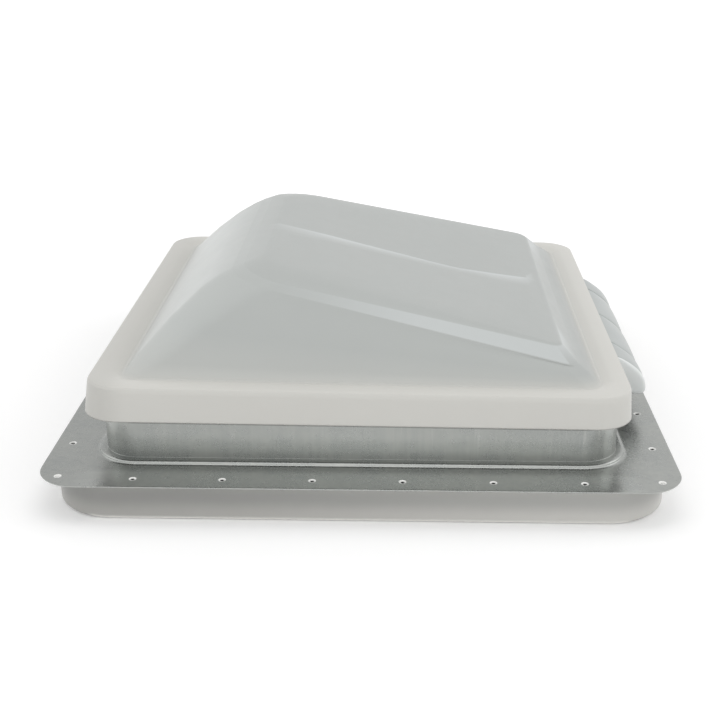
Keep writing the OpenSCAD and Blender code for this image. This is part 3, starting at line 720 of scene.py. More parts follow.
@dataclass(frozen=True)
class TrimPlastic(Finish):
    """The garnish's grey satin plastic, with painted light: paler toward its bottom and just under the flange, lighter
    toward the hinge side, and a painted highlight along its outer bottom edge.
    """

    tint: Colour = linear(152, 152, 149)
    pale: Colour = linear(180, 179, 175)
    # the painted highlight along the outer bottom edge
    edge_highlight: Colour = linear(246, 245, 240)
    cloud_scale: float = 14.0
    cloud_drift: float = 0.0012
    bottom: float = -0.029
    # painted light: how far the garnish is painted paler above its bottom and under the flange
    pale_from: float = 0.004
    pale_to: float = 0.018
    pale_top: Span = (-0.009, -0.002, 0.0, 0.35)
    edge_highlight_from: float = 0.0012
    edge_highlight_to: float = 0.0042
    outside: Pair = (0.2165, 0.2195)
    side_light: Span = (-0.2, 0.22, 0.91, 1.34)
    grain_scale: float = 520.0
    grain_gloss: Span = (0.2, 0.8, 0.28, 0.4)
    bump: Pair = (0.00004, 0.35)

    def mix_paint(self, paint: Paint) -> None:
        """Wires the trim plastic into the shader.

        Args:
            paint: The material's graph.
        """
        x, _, height = paint.split(paint.place)
        drift = paint.times(paint.minus(paint.cloud(self.cloud_scale), 0.5), self.cloud_drift)
        level = paint.plus(height, drift)
        # painted light: paler toward the bottom edge and just under the flange
        low = paint.span(level, self.bottom + self.pale_from, self.bottom + self.pale_to, 1.0, 0.0)
        high = paint.span(level, *self.pale_top)
        graded = paint.blend(paint.math("MAXIMUM", low, high), self.tint, self.pale)
        # painted highlight along the outer bottom edge
        painted_lit = paint.span(height, self.bottom + self.edge_highlight_from, self.bottom + self.edge_highlight_to, 1.0, 0.0)
        unsigned = paint.add("ShaderNodeVectorMath", operation="ABSOLUTE")
        paint.feed(unsigned.inputs[0], paint.place)
        out_x, out_y, _ = paint.split(unsigned.outputs[0])
        edge = paint.span(paint.math("MAXIMUM", out_x, out_y), *self.outside)
        # painted light: darker toward the free side, lighter toward the hinge side
        painted_light_grade = paint.tinted(graded, paint.span(x, *self.side_light))
        paint.give("Base Color", paint.blend(paint.times(painted_lit, edge), painted_light_grade, self.edge_highlight))
        skin = paint.grain(self.grain_scale)
        paint.give("Roughness", paint.span(skin, *self.grain_gloss))
        paint.relief(skin, *self.bump)


@dataclass(frozen=True)
class SealFoam(Finish):
    """Closed-cell sealing foam."""

    tint: Colour = linear(52, 52, 53)
    cell_scale: float = 1400.0
    cell_run: Pair = (0.1, 0.6)
    cell_shade: Pair = (0.7, 1.15)
    cloud_scale: float = 70.0
    cloud_shade: Pair = (0.85, 1.1)
    cloud_gloss: Pair = (0.86, 0.96)
    bump: Pair = (0.00035, 0.7)

    def mix_paint(self, paint: Paint) -> None:
        """Wires the foam into the shader.

        Args:
            paint: The material's graph.
        """
        cells = paint.add("ShaderNodeTexVoronoi", feature="F1")
        paint.feed(cells.inputs["Vector"], paint.place)
        cells.inputs["Scale"].default_value = self.cell_scale
        pore = paint.span(cells.outputs["Distance"], *self.cell_run)
        cloud = paint.cloud(self.cloud_scale)
        patches = paint.span(cloud, 0.0, 1.0, *self.cloud_shade)
        shade = paint.times(paint.span(pore, 0.0, 1.0, *self.cell_shade), patches)
        paint.give("Base Color", paint.tinted(self.tint, shade))
        paint.give("Roughness", paint.span(cloud, 0.0, 1.0, *self.cloud_gloss))
        paint.relief(pore, *self.bump)


@dataclass(frozen=True)
class SplineRubber(Finish):
    """The rubber cord that holds the net in its groove."""

    tint: Colour = linear(38, 38, 39)
    cloud_scale: float = 90.0
    cloud_shade: Pair = (0.8, 1.2)
    cloud_gloss: Pair = (0.55, 0.72)
    skin_scale: float = 1500.0
    bump: Pair = (0.0001, 0.5)

    def mix_paint(self, paint: Paint) -> None:
        """Wires the rubber into the shader.

        Args:
            paint: The material's graph.
        """
        cloud = paint.cloud(self.cloud_scale)
        paint.give("Base Color", paint.tinted(self.tint, paint.span(cloud, 0.0, 1.0, *self.cloud_shade)))
        paint.give("Roughness", paint.span(cloud, 0.0, 1.0, *self.cloud_gloss))
        paint.relief(paint.noise(paint.place, self.skin_scale, 3.0), *self.bump)


@dataclass(frozen=True)
class ScreenThread(Finish):
    """Coated glass-fibre thread of an insect net."""

    tint: Colour = linear(104, 105, 107)
    twist_scale: float = 1800.0
    twist_shade: Span = (0.3, 0.7, 0.85, 1.1)
    twist_gloss: Span = (0.3, 0.7, 0.45, 0.65)
    cloud_scale: float = 25.0
    cloud_shade: Pair = (0.9, 1.06)
    bump: Pair = (0.00008, 0.5)

    def mix_paint(self, paint: Paint) -> None:
        """Wires the thread into the shader.

        Args:
            paint: The material's graph.
        """
        twist = paint.noise(paint.place, self.twist_scale, 2.0)
        cloud = paint.span(paint.cloud(self.cloud_scale), 0.0, 1.0, *self.cloud_shade)
        shade = paint.times(paint.span(twist, *self.twist_shade), cloud)
        paint.give("Base Color", paint.tinted(self.tint, shade))
        paint.give("Roughness", paint.span(twist, *self.twist_gloss))
        paint.relief(twist, *self.bump)


class FinishShelf:
    """Every finish of the vent, painted once."""

    def __init__(self) -> None:
        """Mixes the finishes."""
        effects = SharedEffects()
        # the hood's end takes painted light: a whiter colour that lifts its shade
        hood_body, painted_hood_end_light = linear(177, 181, 180), linear(226, 229, 228)
        recipes = (
            MilkPlastic("milk_plastic", "milky_lid", effects),
            MilkPlastic("hood_plastic", "milky_lid", effects, body=hood_body, painted_rim_shade=1.0, painted_light=painted_hood_end_light),
            GalvanisedSheet("galvanised_sheet", "galvanised", effects),
            PlatedSteel("plated_steel", "steel", effects),
            CastZinc("cast_zinc", "cast_zinc", effects),
            MouldedPlastic("white_nylon", "nylon", effects),
            TrimPlastic("trim_plastic", "trim_plastic", effects),
            SealFoam("seal_foam", "seal_foam", effects),
            SplineRubber("spline_rubber", "seal_foam", effects),
            ScreenThread("screen_thread", "screen_net", effects),
        )
        self.shading = angle_shading()
        self.slots = {recipe.name: recipe.slot for recipe in recipes}
        self.materials = {recipe.name: recipe.made() for recipe in recipes}

    def coat(self, piece: Piece, finish: str) -> None:
        """Puts one finish on a piece.

        Args:
            piece: The object to coat.
            finish: The finish's name.
        """
        slots = piece.data.materials
        slots.clear()
        slots.append(self.materials[finish])


# Shaping


@dataclass(frozen=True)
class Outline:
    """A four-sided outline with rounded corners, in millimetres, which may slope from its free end to its hinge end."""

    free_x: float
    hinge_x: float
    free_y: float
    hinge_y: float
    free_z: float
    hinge_z: float
    free_radius: float
    hinge_radius: float

    @classmethod
    def level(cls, half: float, radius: float, height: float, shift: float = 0.0) -> "Outline":
        """Makes a level, square outline.

        Args:
            half: Half its width.
            radius: Its corner radius.
            height: Its height.
            shift: How far its hinge side is drawn in.

        Returns:
            The outline.
        """
        return cls(-half, half - shift, half, half, height, height, radius, radius)

    def toward(self, other: "Outline", share: float) -> "Outline":
        """Makes the outline between this one and another.

        Args:
            other: The other outline.
            share: How far toward it, from 0 to 1.

        Returns:
            The outline between.
        """
        return Outline(*(mix(here, there, share) for here, there in zip(astuple(self), astuple(other))))

    def tilt(self) -> Matrix:
        """Finds how a flat outline is lifted to its heights.

        Returns:
            The shear.
        """
        slope = (self.hinge_z - self.free_z) / (self.hinge_x - self.free_x)
        shear = Matrix.Identity(4)
        shear[2][0] = slope
        shear[2][3] = self.free_z - slope * self.free_x
        return shear


def ends_of(edges: Edges) -> set[bmesh.types.BMVert]:
    """Returns the vertices that edges run between."""
    return {vert for edge in edges for vert in edge.verts}


class Mould:
    """A mesh being shaped, in millimetres, before it becomes a piece in metres."""

    def __init__(self) -> None:
        """Starts empty."""
        self.mesh = bmesh.new()

    def trace(self, outline: Outline) -> Edges:
        """Draws an outline as a closed loop of edges.

        Args:
            outline: The outline to draw.

        Returns:
            Its edges.
        """
        before = set(self.mesh.edges)
        free, hinge = (outline.free_x, outline.free_y), (outline.hinge_x, outline.hinge_y)
        corners = [
            self.mesh.verts.new((x, side * y, 0.0))
            for x, y, side in ((*free, -1), (*hinge, -1), (*hinge, 1), (*free, 1))
        ]
        self.mesh.faces.new(corners)
        free_pair, hinge_pair = [corners[0], corners[3]], [corners[1], corners[2]]
        for pair, radius in ((free_pair, outline.free_radius), (hinge_pair, outline.hinge_radius)):
            bmesh.ops.bevel(
                self.mesh,
                geom=pair,
                offset=radius,
                offset_type="OFFSET",
                segments=ARC_STEPS,
                profile=0.5,
                affect="VERTICES",
                material=-1,
            )
        fresh = [edge for edge in self.mesh.edges if edge not in before]
        faces = {face for edge in fresh for face in edge.link_faces}
        bmesh.ops.delete(self.mesh, geom=list(faces), context="FACES_ONLY")
        sides = sorted(fresh, key=lambda edge: edge.calc_length(), reverse=True)[:4]
        bmesh.ops.subdivide_edges(self.mesh, edges=sides, cuts=SIDE_CUTS)
        loop = [edge for edge in self.mesh.edges if edge not in before]
        bmesh.ops.transform(self.mesh, matrix=outline.tilt(), verts=list(ends_of(loop)))
        return loop

    def bridge(self, loops: list[Edges]) -> None:
        """Joins each loop of edges to the next."""
        for lower, upper in zip(loops, loops[1:]):
            bmesh.ops.bridge_loops(self.mesh, edges=lower + upper)

    def skin(self, outlines: list[Outline], closed: bool = False) -> list[Edges]:
        """Stretches a skin over outlines, one after another.

        Args:
            outlines: The outlines, in order.
            closed: Whether the last joins the first again.

        Returns:
            The edges of each outline.
        """
        loops = [self.trace(outline) for outline in outlines]
        self.bridge(loops + loops[:1] if closed else loops)
        return loops

    def ring(self, centre: Place, radius: float) -> Edges:
        """Draws a level circle.

        Args:
            centre: Its centre.
            radius: Its radius.

        Returns:
            Its edges.
        """
        middle = Matrix.Translation(centre)
        made = bmesh.ops.create_circle(self.mesh, cap_ends=False, segments=HOLE_SIDES, radius=radius, matrix=middle)
        return list({edge for vert in made["verts"] for edge in vert.link_edges})

    def section(self, profile: list[Pair] | Pairs, y: float) -> Edges:
        """Draws a closed upright section.

        Args:
            profile: Its points, along and up.
            y: Where it stands across the vent.

        Returns:
            Its edges.
        """
        before = set(self.mesh.edges)
        verts = [self.mesh.verts.new((x, y, z)) for x, z in profile]
        made = self.mesh.faces.new(verts)
        bmesh.ops.delete(self.mesh, geom=[made], context="FACES_ONLY")
        return [edge for edge in self.mesh.edges if edge not in before]

    def close(self, loops: list[Edges]) -> None:
        """Skins sections and caps both ends.

        Args:
            loops: The edges of each section, in order.
        """
        self.bridge(loops)
        for loop in (loops[0], loops[-1]):
            bmesh.ops.contextual_create(self.mesh, geom=loop)

    def bored(self, profile: Pairs, axis: Pair, radius: float, run: Pair) -> None:
        """Builds a block with a bore through it, both across the vent.

        Args:
            profile: The block's points, along and up, in order round the bore.
            axis: The bore's middle, along and up.
            radius: The bore's radius.
            run: Where the block starts and ends across the vent.
        """
        turns = [math.atan2(z - axis[1], x - axis[0]) for x, z in profile]
        hole = [(axis[0] + radius * math.cos(turn), axis[1] + radius * math.sin(turn)) for turn in turns]
        start, end = run
        stations = ((profile, start), (profile, end), (hole, end), (hole, start))
        loops = [self.section(points, y) for points, y in stations]
        self.bridge(loops + loops[:1])

    def place(self, matrix: Matrix) -> None:
        """Moves all of it by a matrix."""
        bmesh.ops.transform(self.mesh, matrix=matrix, verts=self.mesh.verts)

    def cast(self, name: str, sharp: float = 30.0) -> Piece:
        """Turns the mesh into an object, in metres.

        Args:
            name: The piece's name.
            sharp: The angle in degrees above which an edge stays sharp.

        Returns:
            The object.
        """
        bmesh.ops.remove_doubles(self.mesh, verts=self.mesh.verts, dist=TOUCHING)
        bmesh.ops.recalc_face_normals(self.mesh, faces=self.mesh.faces)
        bmesh.ops.scale(self.mesh, vec=(MM, MM, MM), verts=self.mesh.verts)
        data = bpy.data.meshes.new(name)
        self.mesh.to_mesh(data)
        self.mesh.free()
        data.shade_smooth()
        data.set_sharp_from_angle(angle=math.radians(sharp))
        piece = bpy.data.objects.new(name, data)
        bpy.context.scene.collection.objects.link(piece)
        return piece


def thicken(piece: Piece, thickness: float) -> None:
    """Gives a skin its sheet thickness, inward.

    Args:
        piece: The skin.
        thickness: The thickness in millimetres.
    """
    shell = piece.modifiers.new("thickness", "SOLIDIFY")
    shell.thickness = thickness * MM
    shell.offset = -1.0
    shell.use_even_offset = True
    shell.use_quality_normals = True


def even_shading(piece: Piece) -> None:
    """Keeps flat faces flat in the shading.

    Args:
        piece: The piece to shade.
    """
    normals = piece.modifiers.new("even_shading", "WEIGHTED_NORMAL")
    normals.keep_sharp = True
    normals.weight = FLAT_WEIGHT


def angle_shading() -> bpy.types.NodeTree:
    """Makes the node tree that shades curved faces smooth and keeps hard edges.

    Returns:
        The node tree.
    """
    tree = bpy.data.node_groups.new("shade_by_angle", "GeometryNodeTree")
    for way in ("INPUT", "OUTPUT"):
        tree.interface.new_socket("Geometry", in_out=way, socket_type="NodeSocketGeometry")
    graph = Graph(tree)
    start, end = graph.add("NodeGroupInput"), graph.add("NodeGroupOutput")
    smooth = graph.add("GeometryNodeSetShadeSmooth", domain="FACE")
    hard = graph.add("GeometryNodeSetShadeSmooth", domain="EDGE")
    angle = graph.add("GeometryNodeInputMeshEdgeAngle")
    wide = graph.add("FunctionNodeCompare", data_type="FLOAT", operation="GREATER_THAN")
    graph.feed(wide.inputs[0], angle.outputs[0])
    graph.feed(wide.inputs[1], math.radians(SMOOTH_BELOW))
    graph.feed(smooth.inputs["Geometry"], start.outputs[0])
    graph.feed(hard.inputs["Geometry"], smooth.outputs[0])
    graph.feed(hard.inputs["Selection"], wide.outputs[0])
    graph.feed(hard.inputs["Shade Smooth"], False)
    graph.feed(end.inputs[0], hard.outputs[0])
    return tree


def soften(piece: Piece, width: float, shading: bpy.types.NodeTree) -> None:
    """Breaks the sharp edges of a carried-over part and smooths its curves.

    Args:
        piece: The part.
        width: The width of the broken edge in millimetres.
        shading: The node tree that shades it.
    """
    weld = piece.modifiers.new("weld", "WELD")
    weld.merge_threshold = WELD_METRES
    edge = piece.modifiers.new("broken_edges", "BEVEL")
    edge.width = width * MM
    edge.segments = 2
    edge.limit_method = "ANGLE"
    edge.loop_slide = False
    edge.angle_limit = math.radians(BREAK_ABOVE)
    piece.modifiers.new("shading", "NODES").node_group = shading
    even_shading(piece)


# Sub-assemblies: sizes in millimetres


class SubAssembly:
    """Pieces that are built and dressed together.

    Each carried-over part is named with its finish and the width of its broken edges.
    """

    carried: tuple[tuple[str, str, float], ...] = ()

    def __init__(self, shelf: FinishShelf) -> None:
        """Keeps the finishes."""
        self.shelf = shelf

    def dress(self) -> None:
        """Gives each carried-over part its finish, and its broken edges their width."""
        for node, finish, edge in self.carried:
            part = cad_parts[node]
            soften(part, edge, self.shelf.shading)
            self.shelf.coat(part, finish)
            log.info("dressed %s", node)


@dataclass
class LidSizes:
    """The sizes of the lid, its seal and its hood, before the lid is set down on the seal.

    A row of the lip holds half its width, its corner radius, its height and how far the hinge side is drawn in.
    Points of the hood's sections are along and up; its runs are across, from a start to an end or with a swell.
    """

    lip: tuple[tuple[float, float, float, float], ...] = (
        (199.6, 28.0, 35.0, 4.0),
        (199.5, 28.0, 36.0, 4.0),
        (199.3, 27.8, 38.0, 4.0),
        (197.2, 27.0, 52.0, 3.0),
        (196.6, 26.6, 55.0, 2.6),
        (195.4, 26.0, 56.4, 2.0),
        (193.4, 25.0, 57.0, 1.6),
        (189.0, 23.0, 57.2, 1.0),
        (184.0, 20.5, 57.1, 0.4),
        (180.0, 17.5, 56.4, 0.0),
        (177.0, 15.5, 54.9, 0.0),
        (174.6, 14.0, 54.2, 0.0),
        (172.6, 13.0, 54.8, 0.0),
    )
    lip_drop: Pair = (3.4, 0.8)
    lip_drop_rows: int = 3
    foot: Outline = Outline(-171.0, 171.0, 171.0, 171.0, 56.6, 56.6, 12.5, 12.5)
    wall: tuple[Outline, ...] = (
        Outline(-164.8, 169.0, 162.6, 169.9, 63.6, 58.0, 22.6, 12.5),
        Outline(-143.0, 165.0, 150.6, 167.0, 86.0, 60.9, 29.2, 12.5),
        Outline(-122.2, 161.0, 141.2, 163.4, 104.0, 63.6, 33.2, 12.0),
        Outline(-109.0, 159.5, 136.0, 162.0, 112.9, 64.6, 33.6, 11.5),
    )
    shoulder: Outline = Outline(-99.0, 158.0, 133.1, 162.1, 118.0, 65.8, 32.6, 11.0)
    shoulder_round: float = 0.06
    valley: Outline = Outline(-89.5, 146.7, 130.5, 149.4, 121.6, 76.6, 31.4, 10.0)
    rib_round: float = 0.08
    band: tuple[Outline, ...] = (
        Outline(-83.1, 145.5, 124.8, 148.8, 123.2, 77.4, 31.7, 10.0),
        Outline(-77.9, 143.7, 118.5, 147.7, 124.2, 78.0, 31.1, 10.0),
        Outline(-73.0, 141.2, 108.6, 145.8, 124.8, 78.7, 29.9, 9.5),
    )
    panel: Outline = Outline(-29.2, 133.7, 96.1, 130.6, 116.6, 80.8, 28.1, 9.0)
    panel_cuts_across: tuple[float, ...] = (
        -60.0, -40.0, -26.0, -20.0, -15.0, -10.5, -7.0, -4.0, -2.0, 0.0, 2.0, 10.0, 40.0, 75.0,
    )
    panel_cuts_start: float = -28.0
    panel_cuts_pitch: float = 13.0
    panel_cuts_along: int = 13
    top_half: float = 100.0
    crown: float = 1.6
    crown_start: float = -88.0
    crown_length: float = 228.0
    rim_rows_up_wall: int = 2
    rim_fade_rows: int = 5
    # where the shoulder rib's painted highlight runs, and how strong it is
    rib_run: Pair = (-66.0, 40.0)
    rib_past_panel: float = 16.0
    rib_highlight_strength: float = 0.64
    thickness: float = 2.6
    crease_depth: float = 6.4
    crease_deepest: float = 73.0
    crease_ends: Pair = (-80.0, 141.0)
    crease_width: float = 26.0
    crease_reach: float = 112.0
    crease_near: float = 0.75
    crease_near_power: float = 1.5
    crease_run_power: float = 0.75
    # how strong the crease's painted highlight is
    crease_highlight: float = 3.0
    rim_under: float = 53.6
    hinge: Pair = (207.0, 31.0)
    rake: float = 0.8
    seal_centre: float = 161.0
    seal_inner: float = 18.5
    seal_outer: float = 26.0
    lobes: Pairs = ((-98.6, -68.2), (-67.8, -0.2), (0.2, 67.8), (68.2, 98.0))
    swelling: Pairs = ((0.0, 0.9), (0.04, 0.95), (0.14, 1.0), (0.5, 1.03), (0.86, 1.0), (0.96, 0.95), (1.0, 0.9))
    cover: Pairs = (
        (193.0, 52.0), (199.5, 49.4), (206.3, 45.6), (212.6, 41.0), (217.6, 35.0), (220.2, 28.0), (220.4, 20.8),
    )
    cover_root: float = 201.0
    hollow: Pairs = (
        (217.4, 20.8), (216.8, 27.4), (214.2, 34.0), (209.8, 39.6), (204.0, 43.6), (197.5, 46.8), (193.0, 48.5),
    )
    end_wall: Pairs = ((213.0, 19.8), (205.0, 20.8), (199.0, 27.0), (194.0, 40.0))
    end_run: Pairs = ((-102.2, 0.8), (-101.4, 0.93), (-99.8, 1.0), (-98.3, 1.0))
    # where the hood's end starts to be painted lighter
    painted_light_end: float = -99.7
    eyes: Pairs = ((-96.0, -71.2), (-64.8, -3.2), (3.2, 64.8), (71.2, 96.0))
    eye: Pairs = (
        (193.5, 47.5), (204.0, 44.4), (210.4, 40.2), (215.0, 34.2), (216.6, 27.0), (215.0, 22.0), (207.0, 20.6),
        (200.0, 24.0), (197.0, 33.0), (194.0, 40.0),
    )
    bore: float = 3.6


class Lid(SubAssembly):
    """The lid with its hinge hood, its foam seal and the hinge's own hardware."""

    carried = (
        ("hinge_bracket", "plated_steel", 0.3),
        ("hinge_rivets", "plated_steel", 0.25),
        ("hinge_pin", "plated_steel", 0.2),
        ("pin_clip", "plated_steel", 0.15),
        ("lift_rail", "plated_steel", 0.25),
        ("rail_pads", "milk_plastic", 0.4),
        ("rail_screws", "plated_steel", 0.2),
    )

    def __init__(self, sizes: LidSizes, shelf: FinishShelf) -> None:
        """Keeps the sizes and the finishes."""
        super().__init__(shelf)
        self.sizes = sizes

    def resting(self) -> Matrix:
        """Finds how the lid is set down on its seal.

        Returns:
            The turn about the hinge.
        """
        x, z = self.sizes.hinge
        pivot = Matrix.Translation((x, 0.0, z))
        return pivot @ Matrix.Rotation(math.radians(self.sizes.rake), 4, "Y") @ pivot.inverted()

    def underside(self, x: float) -> float:
        """Says how high the rim's underside rests.

        Args:
            x: The place along the lid.

        Returns:
            The height in millimetres.
        """
        hinge_x, hinge_z = self.sizes.hinge
        angle = math.radians(self.sizes.rake)
        return hinge_z + (self.sizes.rim_under - hinge_z) * math.cos(angle) - (x - hinge_x) * math.sin(angle)

    def crease(self, x: float, y: float) -> float:
        """Says how far the top panel sinks at a place.

        Args:
            x: The place along the lid.
            y: The place across it.

        Returns:
            The drop in millimetres.
        """
        size = self.sizes
        depth = self.crease_depth(x)
        across = max(0.0, 1.0 - abs(y) / size.crease_reach)
        crown = size.crown * max(0.0, x - size.crown_start) / size.crown_length * across
        if y >= 0:
            return depth * across - crown
        near = max(0.0, 1.0 - abs(y) / size.crease_width) ** size.crease_near_power
        return depth * (size.crease_near * near + (1.0 - size.crease_near) * across) - crown

    def crease_depth(self, x: float) -> float:
        """Says how deep the crease is at its line.

        Args:
            x: The place along the lid.

        Returns:
            The depth in millimetres.
        """
        size = self.sizes
        end = size.crease_ends[0] if x < size.crease_deepest else size.crease_ends[1]
        along = (x - end) / (size.crease_deepest - end)
        return size.crease_depth * max(0.0, min(1.0, along)) ** size.crease_run_power

    def creased(self, place: Vector) -> bool:
        """Says whether a place lies on the rounded edge that the crease runs out over."""
        return self.sizes.valley.free_x < place.x < self.sizes.panel.free_x and abs(place.y) < self.sizes.top_half

    def rib_highlight(self, x: float, y: float) -> float:
        """Says how strong the painted highlight on the shoulder rib is at a place.

        Args:
            x: The place along the lid.
            y: The place across it.

        Returns:
            The painted highlight's strength, growing from 0 at the rib's tip.
        """
        size = self.sizes
        first, last = size.rib_run
        share = max(0.0, min(1.0, (x - first) / (last - first)))
        on_rib = abs(y) > size.top_half and x < size.panel.hinge_x + size.rib_past_panel
        return size.rib_highlight_strength * share if on_rib else 0.0

    def lip_lines(self) -> list[Outline]:
        """Draws up the rim.

        Returns:
            Its outlines, from the lip to the foot of the dome.
        """
        size = self.sizes
        lines = [Outline.level(half, radius, height, shift) for half, radius, height, shift in size.lip]
        for step, line in enumerate(lines[: size.lip_drop_rows]):
            free, hinge = line.free_z - size.lip_drop[0], line.hinge_z - size.lip_drop[1]
            lines[step] = replace(line, free_z=free, hinge_z=hinge)
        return [*lines, size.foot]

    def press_top(self, mould: Mould, edge: Edges, whiteness: bmesh.types.BMLayerItem) -> None:
        """Closes the dome with its top panel and presses the crease into it.

        Args:
            mould: The lid being made.
            edge: The panel's edge.
            whiteness: The layer that holds the painted highlight along the crease.
        """
        size = self.sizes
        mesh = mould.mesh
        cap = bmesh.ops.contextual_create(mesh, geom=edge)["faces"]
        turned = [face for face in mesh.faces if self.creased(face.calc_center_median())]
        for face in cap + turned:
            face.material_index = PRESSED_MARK
        along = [size.panel_cuts_start + size.panel_cuts_pitch * step for step in range(size.panel_cuts_along)]
        cuts = [((0.0, y, 0.0), (0.0, 1.0, 0.0)) for y in size.panel_cuts_across]
        cuts += [((x, 0.0, 0.0), (1.0, 0.0, 0.0)) for x in along]
        for point, normal in cuts:
            faces = [face for face in mesh.faces if face.material_index == PRESSED_MARK]
            parts = set(faces) | {e for f in faces for e in f.edges} | {v for f in faces for v in f.verts}
            bmesh.ops.bisect_plane(mesh, geom=list(parts), dist=TOUCHING, plane_co=point, plane_no=normal)
        faces = [face for face in mesh.faces if face.material_index == PRESSED_MARK]
        for vert in {v for face in faces for v in face.verts}:
            x, y = vert.co.x, vert.co.y
            vert.co.z -= self.crease(x, y)
            # painted highlight along the near side of the crease
            if -size.crease_width < y < TOUCHING:
                fade = (1 + y / size.crease_width) ** size.crease_near_power
                vert[whiteness] = fade * min(1.0, size.crease_highlight * self.crease_depth(x) / size.crease_depth)
        for face in faces:
            face.material_index = 0

    def build_shell(self) -> Piece:
        """Builds the lid's shell.

        Returns:
            The shell.
        """
        size = self.sizes
        mould = Mould()
        lip = self.lip_lines()
        wall = [*size.wall, size.shoulder.toward(size.wall[-1], size.shoulder_round), size.shoulder]
        rib_foot = size.shoulder.toward(size.valley, size.rib_round)
        rib_top = size.valley.toward(size.shoulder, size.rib_round)
        rim_share = mould.mesh.verts.layers.float.new("rim_share")
        painted_light_share = mould.mesh.verts.layers.float.new("painted_light_share")
        loops = mould.skin([*lip, *wall, rib_foot, rib_top, size.valley, *size.band, size.panel])
        for step, loop in enumerate(loops[: len(lip) + size.rim_rows_up_wall]):
            share = 1.0 - max(0, step - len(lip) + size.rim_fade_rows - 1) / size.rim_fade_rows
            for vert in ends_of(loop):
                vert[rim_share] = share
        start = len(lip) + len(wall)
        # painted highlight along the shoulder rib
        for vert in ends_of(loops[start] + loops[start + 1]):
            vert[painted_light_share] = self.rib_highlight(vert.co.x, vert.co.y)
        self.press_top(mould, loops[-1], painted_light_share)
        mould.place(self.resting())
        shell = mould.cast("lid_shell")
        thicken(shell, size.thickness)
        even_shading(shell)
        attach(shell, "lid_group")
        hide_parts("lid")
        self.shelf.coat(shell, "milk_plastic")
        return shell

    def seal_section(self) -> tuple[tuple[float, float, float], ...]:
        """Draws up the seal's section.

        Returns:
            Its points: out from the corner centres, raised, and as a share of the gap it fills.
        """
        inner, outer = self.sizes.seal_inner, self.sizes.seal_outer
        return (
            (inner + 0.6, 0.0, 0.0),
            (outer - 0.6, 0.03, 0.0),
            (outer, 0.8, 0.0),
            (outer + 0.1, 0.0, 0.5),
            (outer - 0.9, -0.9, 1.0),
            (outer - 2.6, -0.1, 1.0),
            (inner + 2.6, -0.13, 1.0),
            (inner + 0.9, -0.9, 1.0),
            (inner - 0.1, 0.0, 0.5),
            (inner, 0.8, 0.0),
        )

    def build_seal(self) -> Piece:
        """Builds the foam seal under the lid's gutter.

        Returns:
            The seal.
        """
        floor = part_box("lid_seal")[0].z / MM
        outlines = []
        for offset, rise, share in self.seal_section():
            half = self.sizes.seal_centre + offset
            free, hinge = (rise + mix(floor, self.underside(x), share) for x in (-half, half))
            outlines.append(Outline(-half, half, half, half, free, hinge, offset, offset))
        mould = Mould()
        mould.skin(outlines, closed=True)
        seal = mould.cast("foam_seal", sharp=50.0)
        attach(seal, "lid_group")
        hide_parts("lid_seal")
        self.shelf.coat(seal, "seal_foam")
        return seal

    def swollen(self, profile: Pairs, swell: float) -> list[Pair]:
        """Returns a profile grown or shrunk about the hinge, but not where it meets the lid."""
        (x0, z0), root = self.sizes.hinge, self.sizes.cover_root
        return [(x, z) if x < root else (x0 + (x - x0) * swell, z0 + (z - z0) * swell) for x, z in profile]

    def build_hood(self) -> Piece:
        """Builds the scalloped hood over the hinge.

        Returns:
            The hood.
        """
        size = self.sizes
        mould = Mould()
        pale = mould.mesh.verts.layers.float.new("painted_light_share")
        for start, end in size.lobes:
            stations = [(mix(start, end, share), swell) for share, swell in size.swelling]
            mould.close([mould.section([*self.swollen(size.cover, swell), *size.hollow], y) for y, swell in stations])
        mould.close([mould.section(self.swollen(size.cover + size.end_wall, swell), y) for y, swell in size.end_run])
        # painted light: the hood's front end is painted whiter to lift its shade
        for vert in mould.mesh.verts:
            vert[pale] = 1.0 if vert.co.y < size.painted_light_end else 0.0
        for start, end in size.eyes:
            mould.bored(size.eye, size.hinge, size.bore, (start, end))
        mould.place(self.resting())
        hood = mould.cast("hinge_hood_lobes", sharp=180.0)
        rounded = hood.modifiers.new("rounded", "SUBSURF")
        rounded.levels = rounded.render_levels = 2
        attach(hood, "lid_group")
        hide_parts("hinge_hood")
        self.shelf.coat(hood, "hood_plastic")
        return hood


@dataclass
class PanSizes:
    """The base pan's sizes.

    Points of the bead are out from the collar and up, those of the edge in from the flange's side and down, and
    those of a dimple out from its hole and down.
    """

    flange_half: float = 228.6
    flange_radius: float = 30.0
    collar_half: float = 188.0
    corner_centre: float = 161.0
    bead: Pairs = (
        (8.8, 1.0), (7.8, 1.05), (6.8, 1.35), (6.2, 1.75), (5.95, 2.1), (5.9, 2.6), (5.85, 3.1), (5.3, 3.7),
        (4.3, 4.05), (3.0, 4.15), (1.4, 4.18), (0.15, 4.21), (0.0, 4.36),
    )
    edge: Pairs = ((2.0, 0.0), (0.3, 0.02), (0.0, 0.2))
    height: float = 48.0
    wall_rows: tuple[float, ...] = (7.0, 16.0, 32.0)
    bend: float = 2.0
    bend_turns: tuple[float, ...] = (30.0, 60.0, 90.0)
    lip: float = 9.0
    lip_fall: float = 0.05
    sheet: float = 1.0
    hole_radius: float = 1.45
    dimple: Pairs = ((1.6, 0.0), (1.0, 0.02), (0.0, 0.4))
    hole_row: float = 215.9
    hole_steps: tuple[float, ...] = (-158.75, -95.25, -31.75, 31.75, 95.25, 158.75)
    corner_hole: float = 213.0


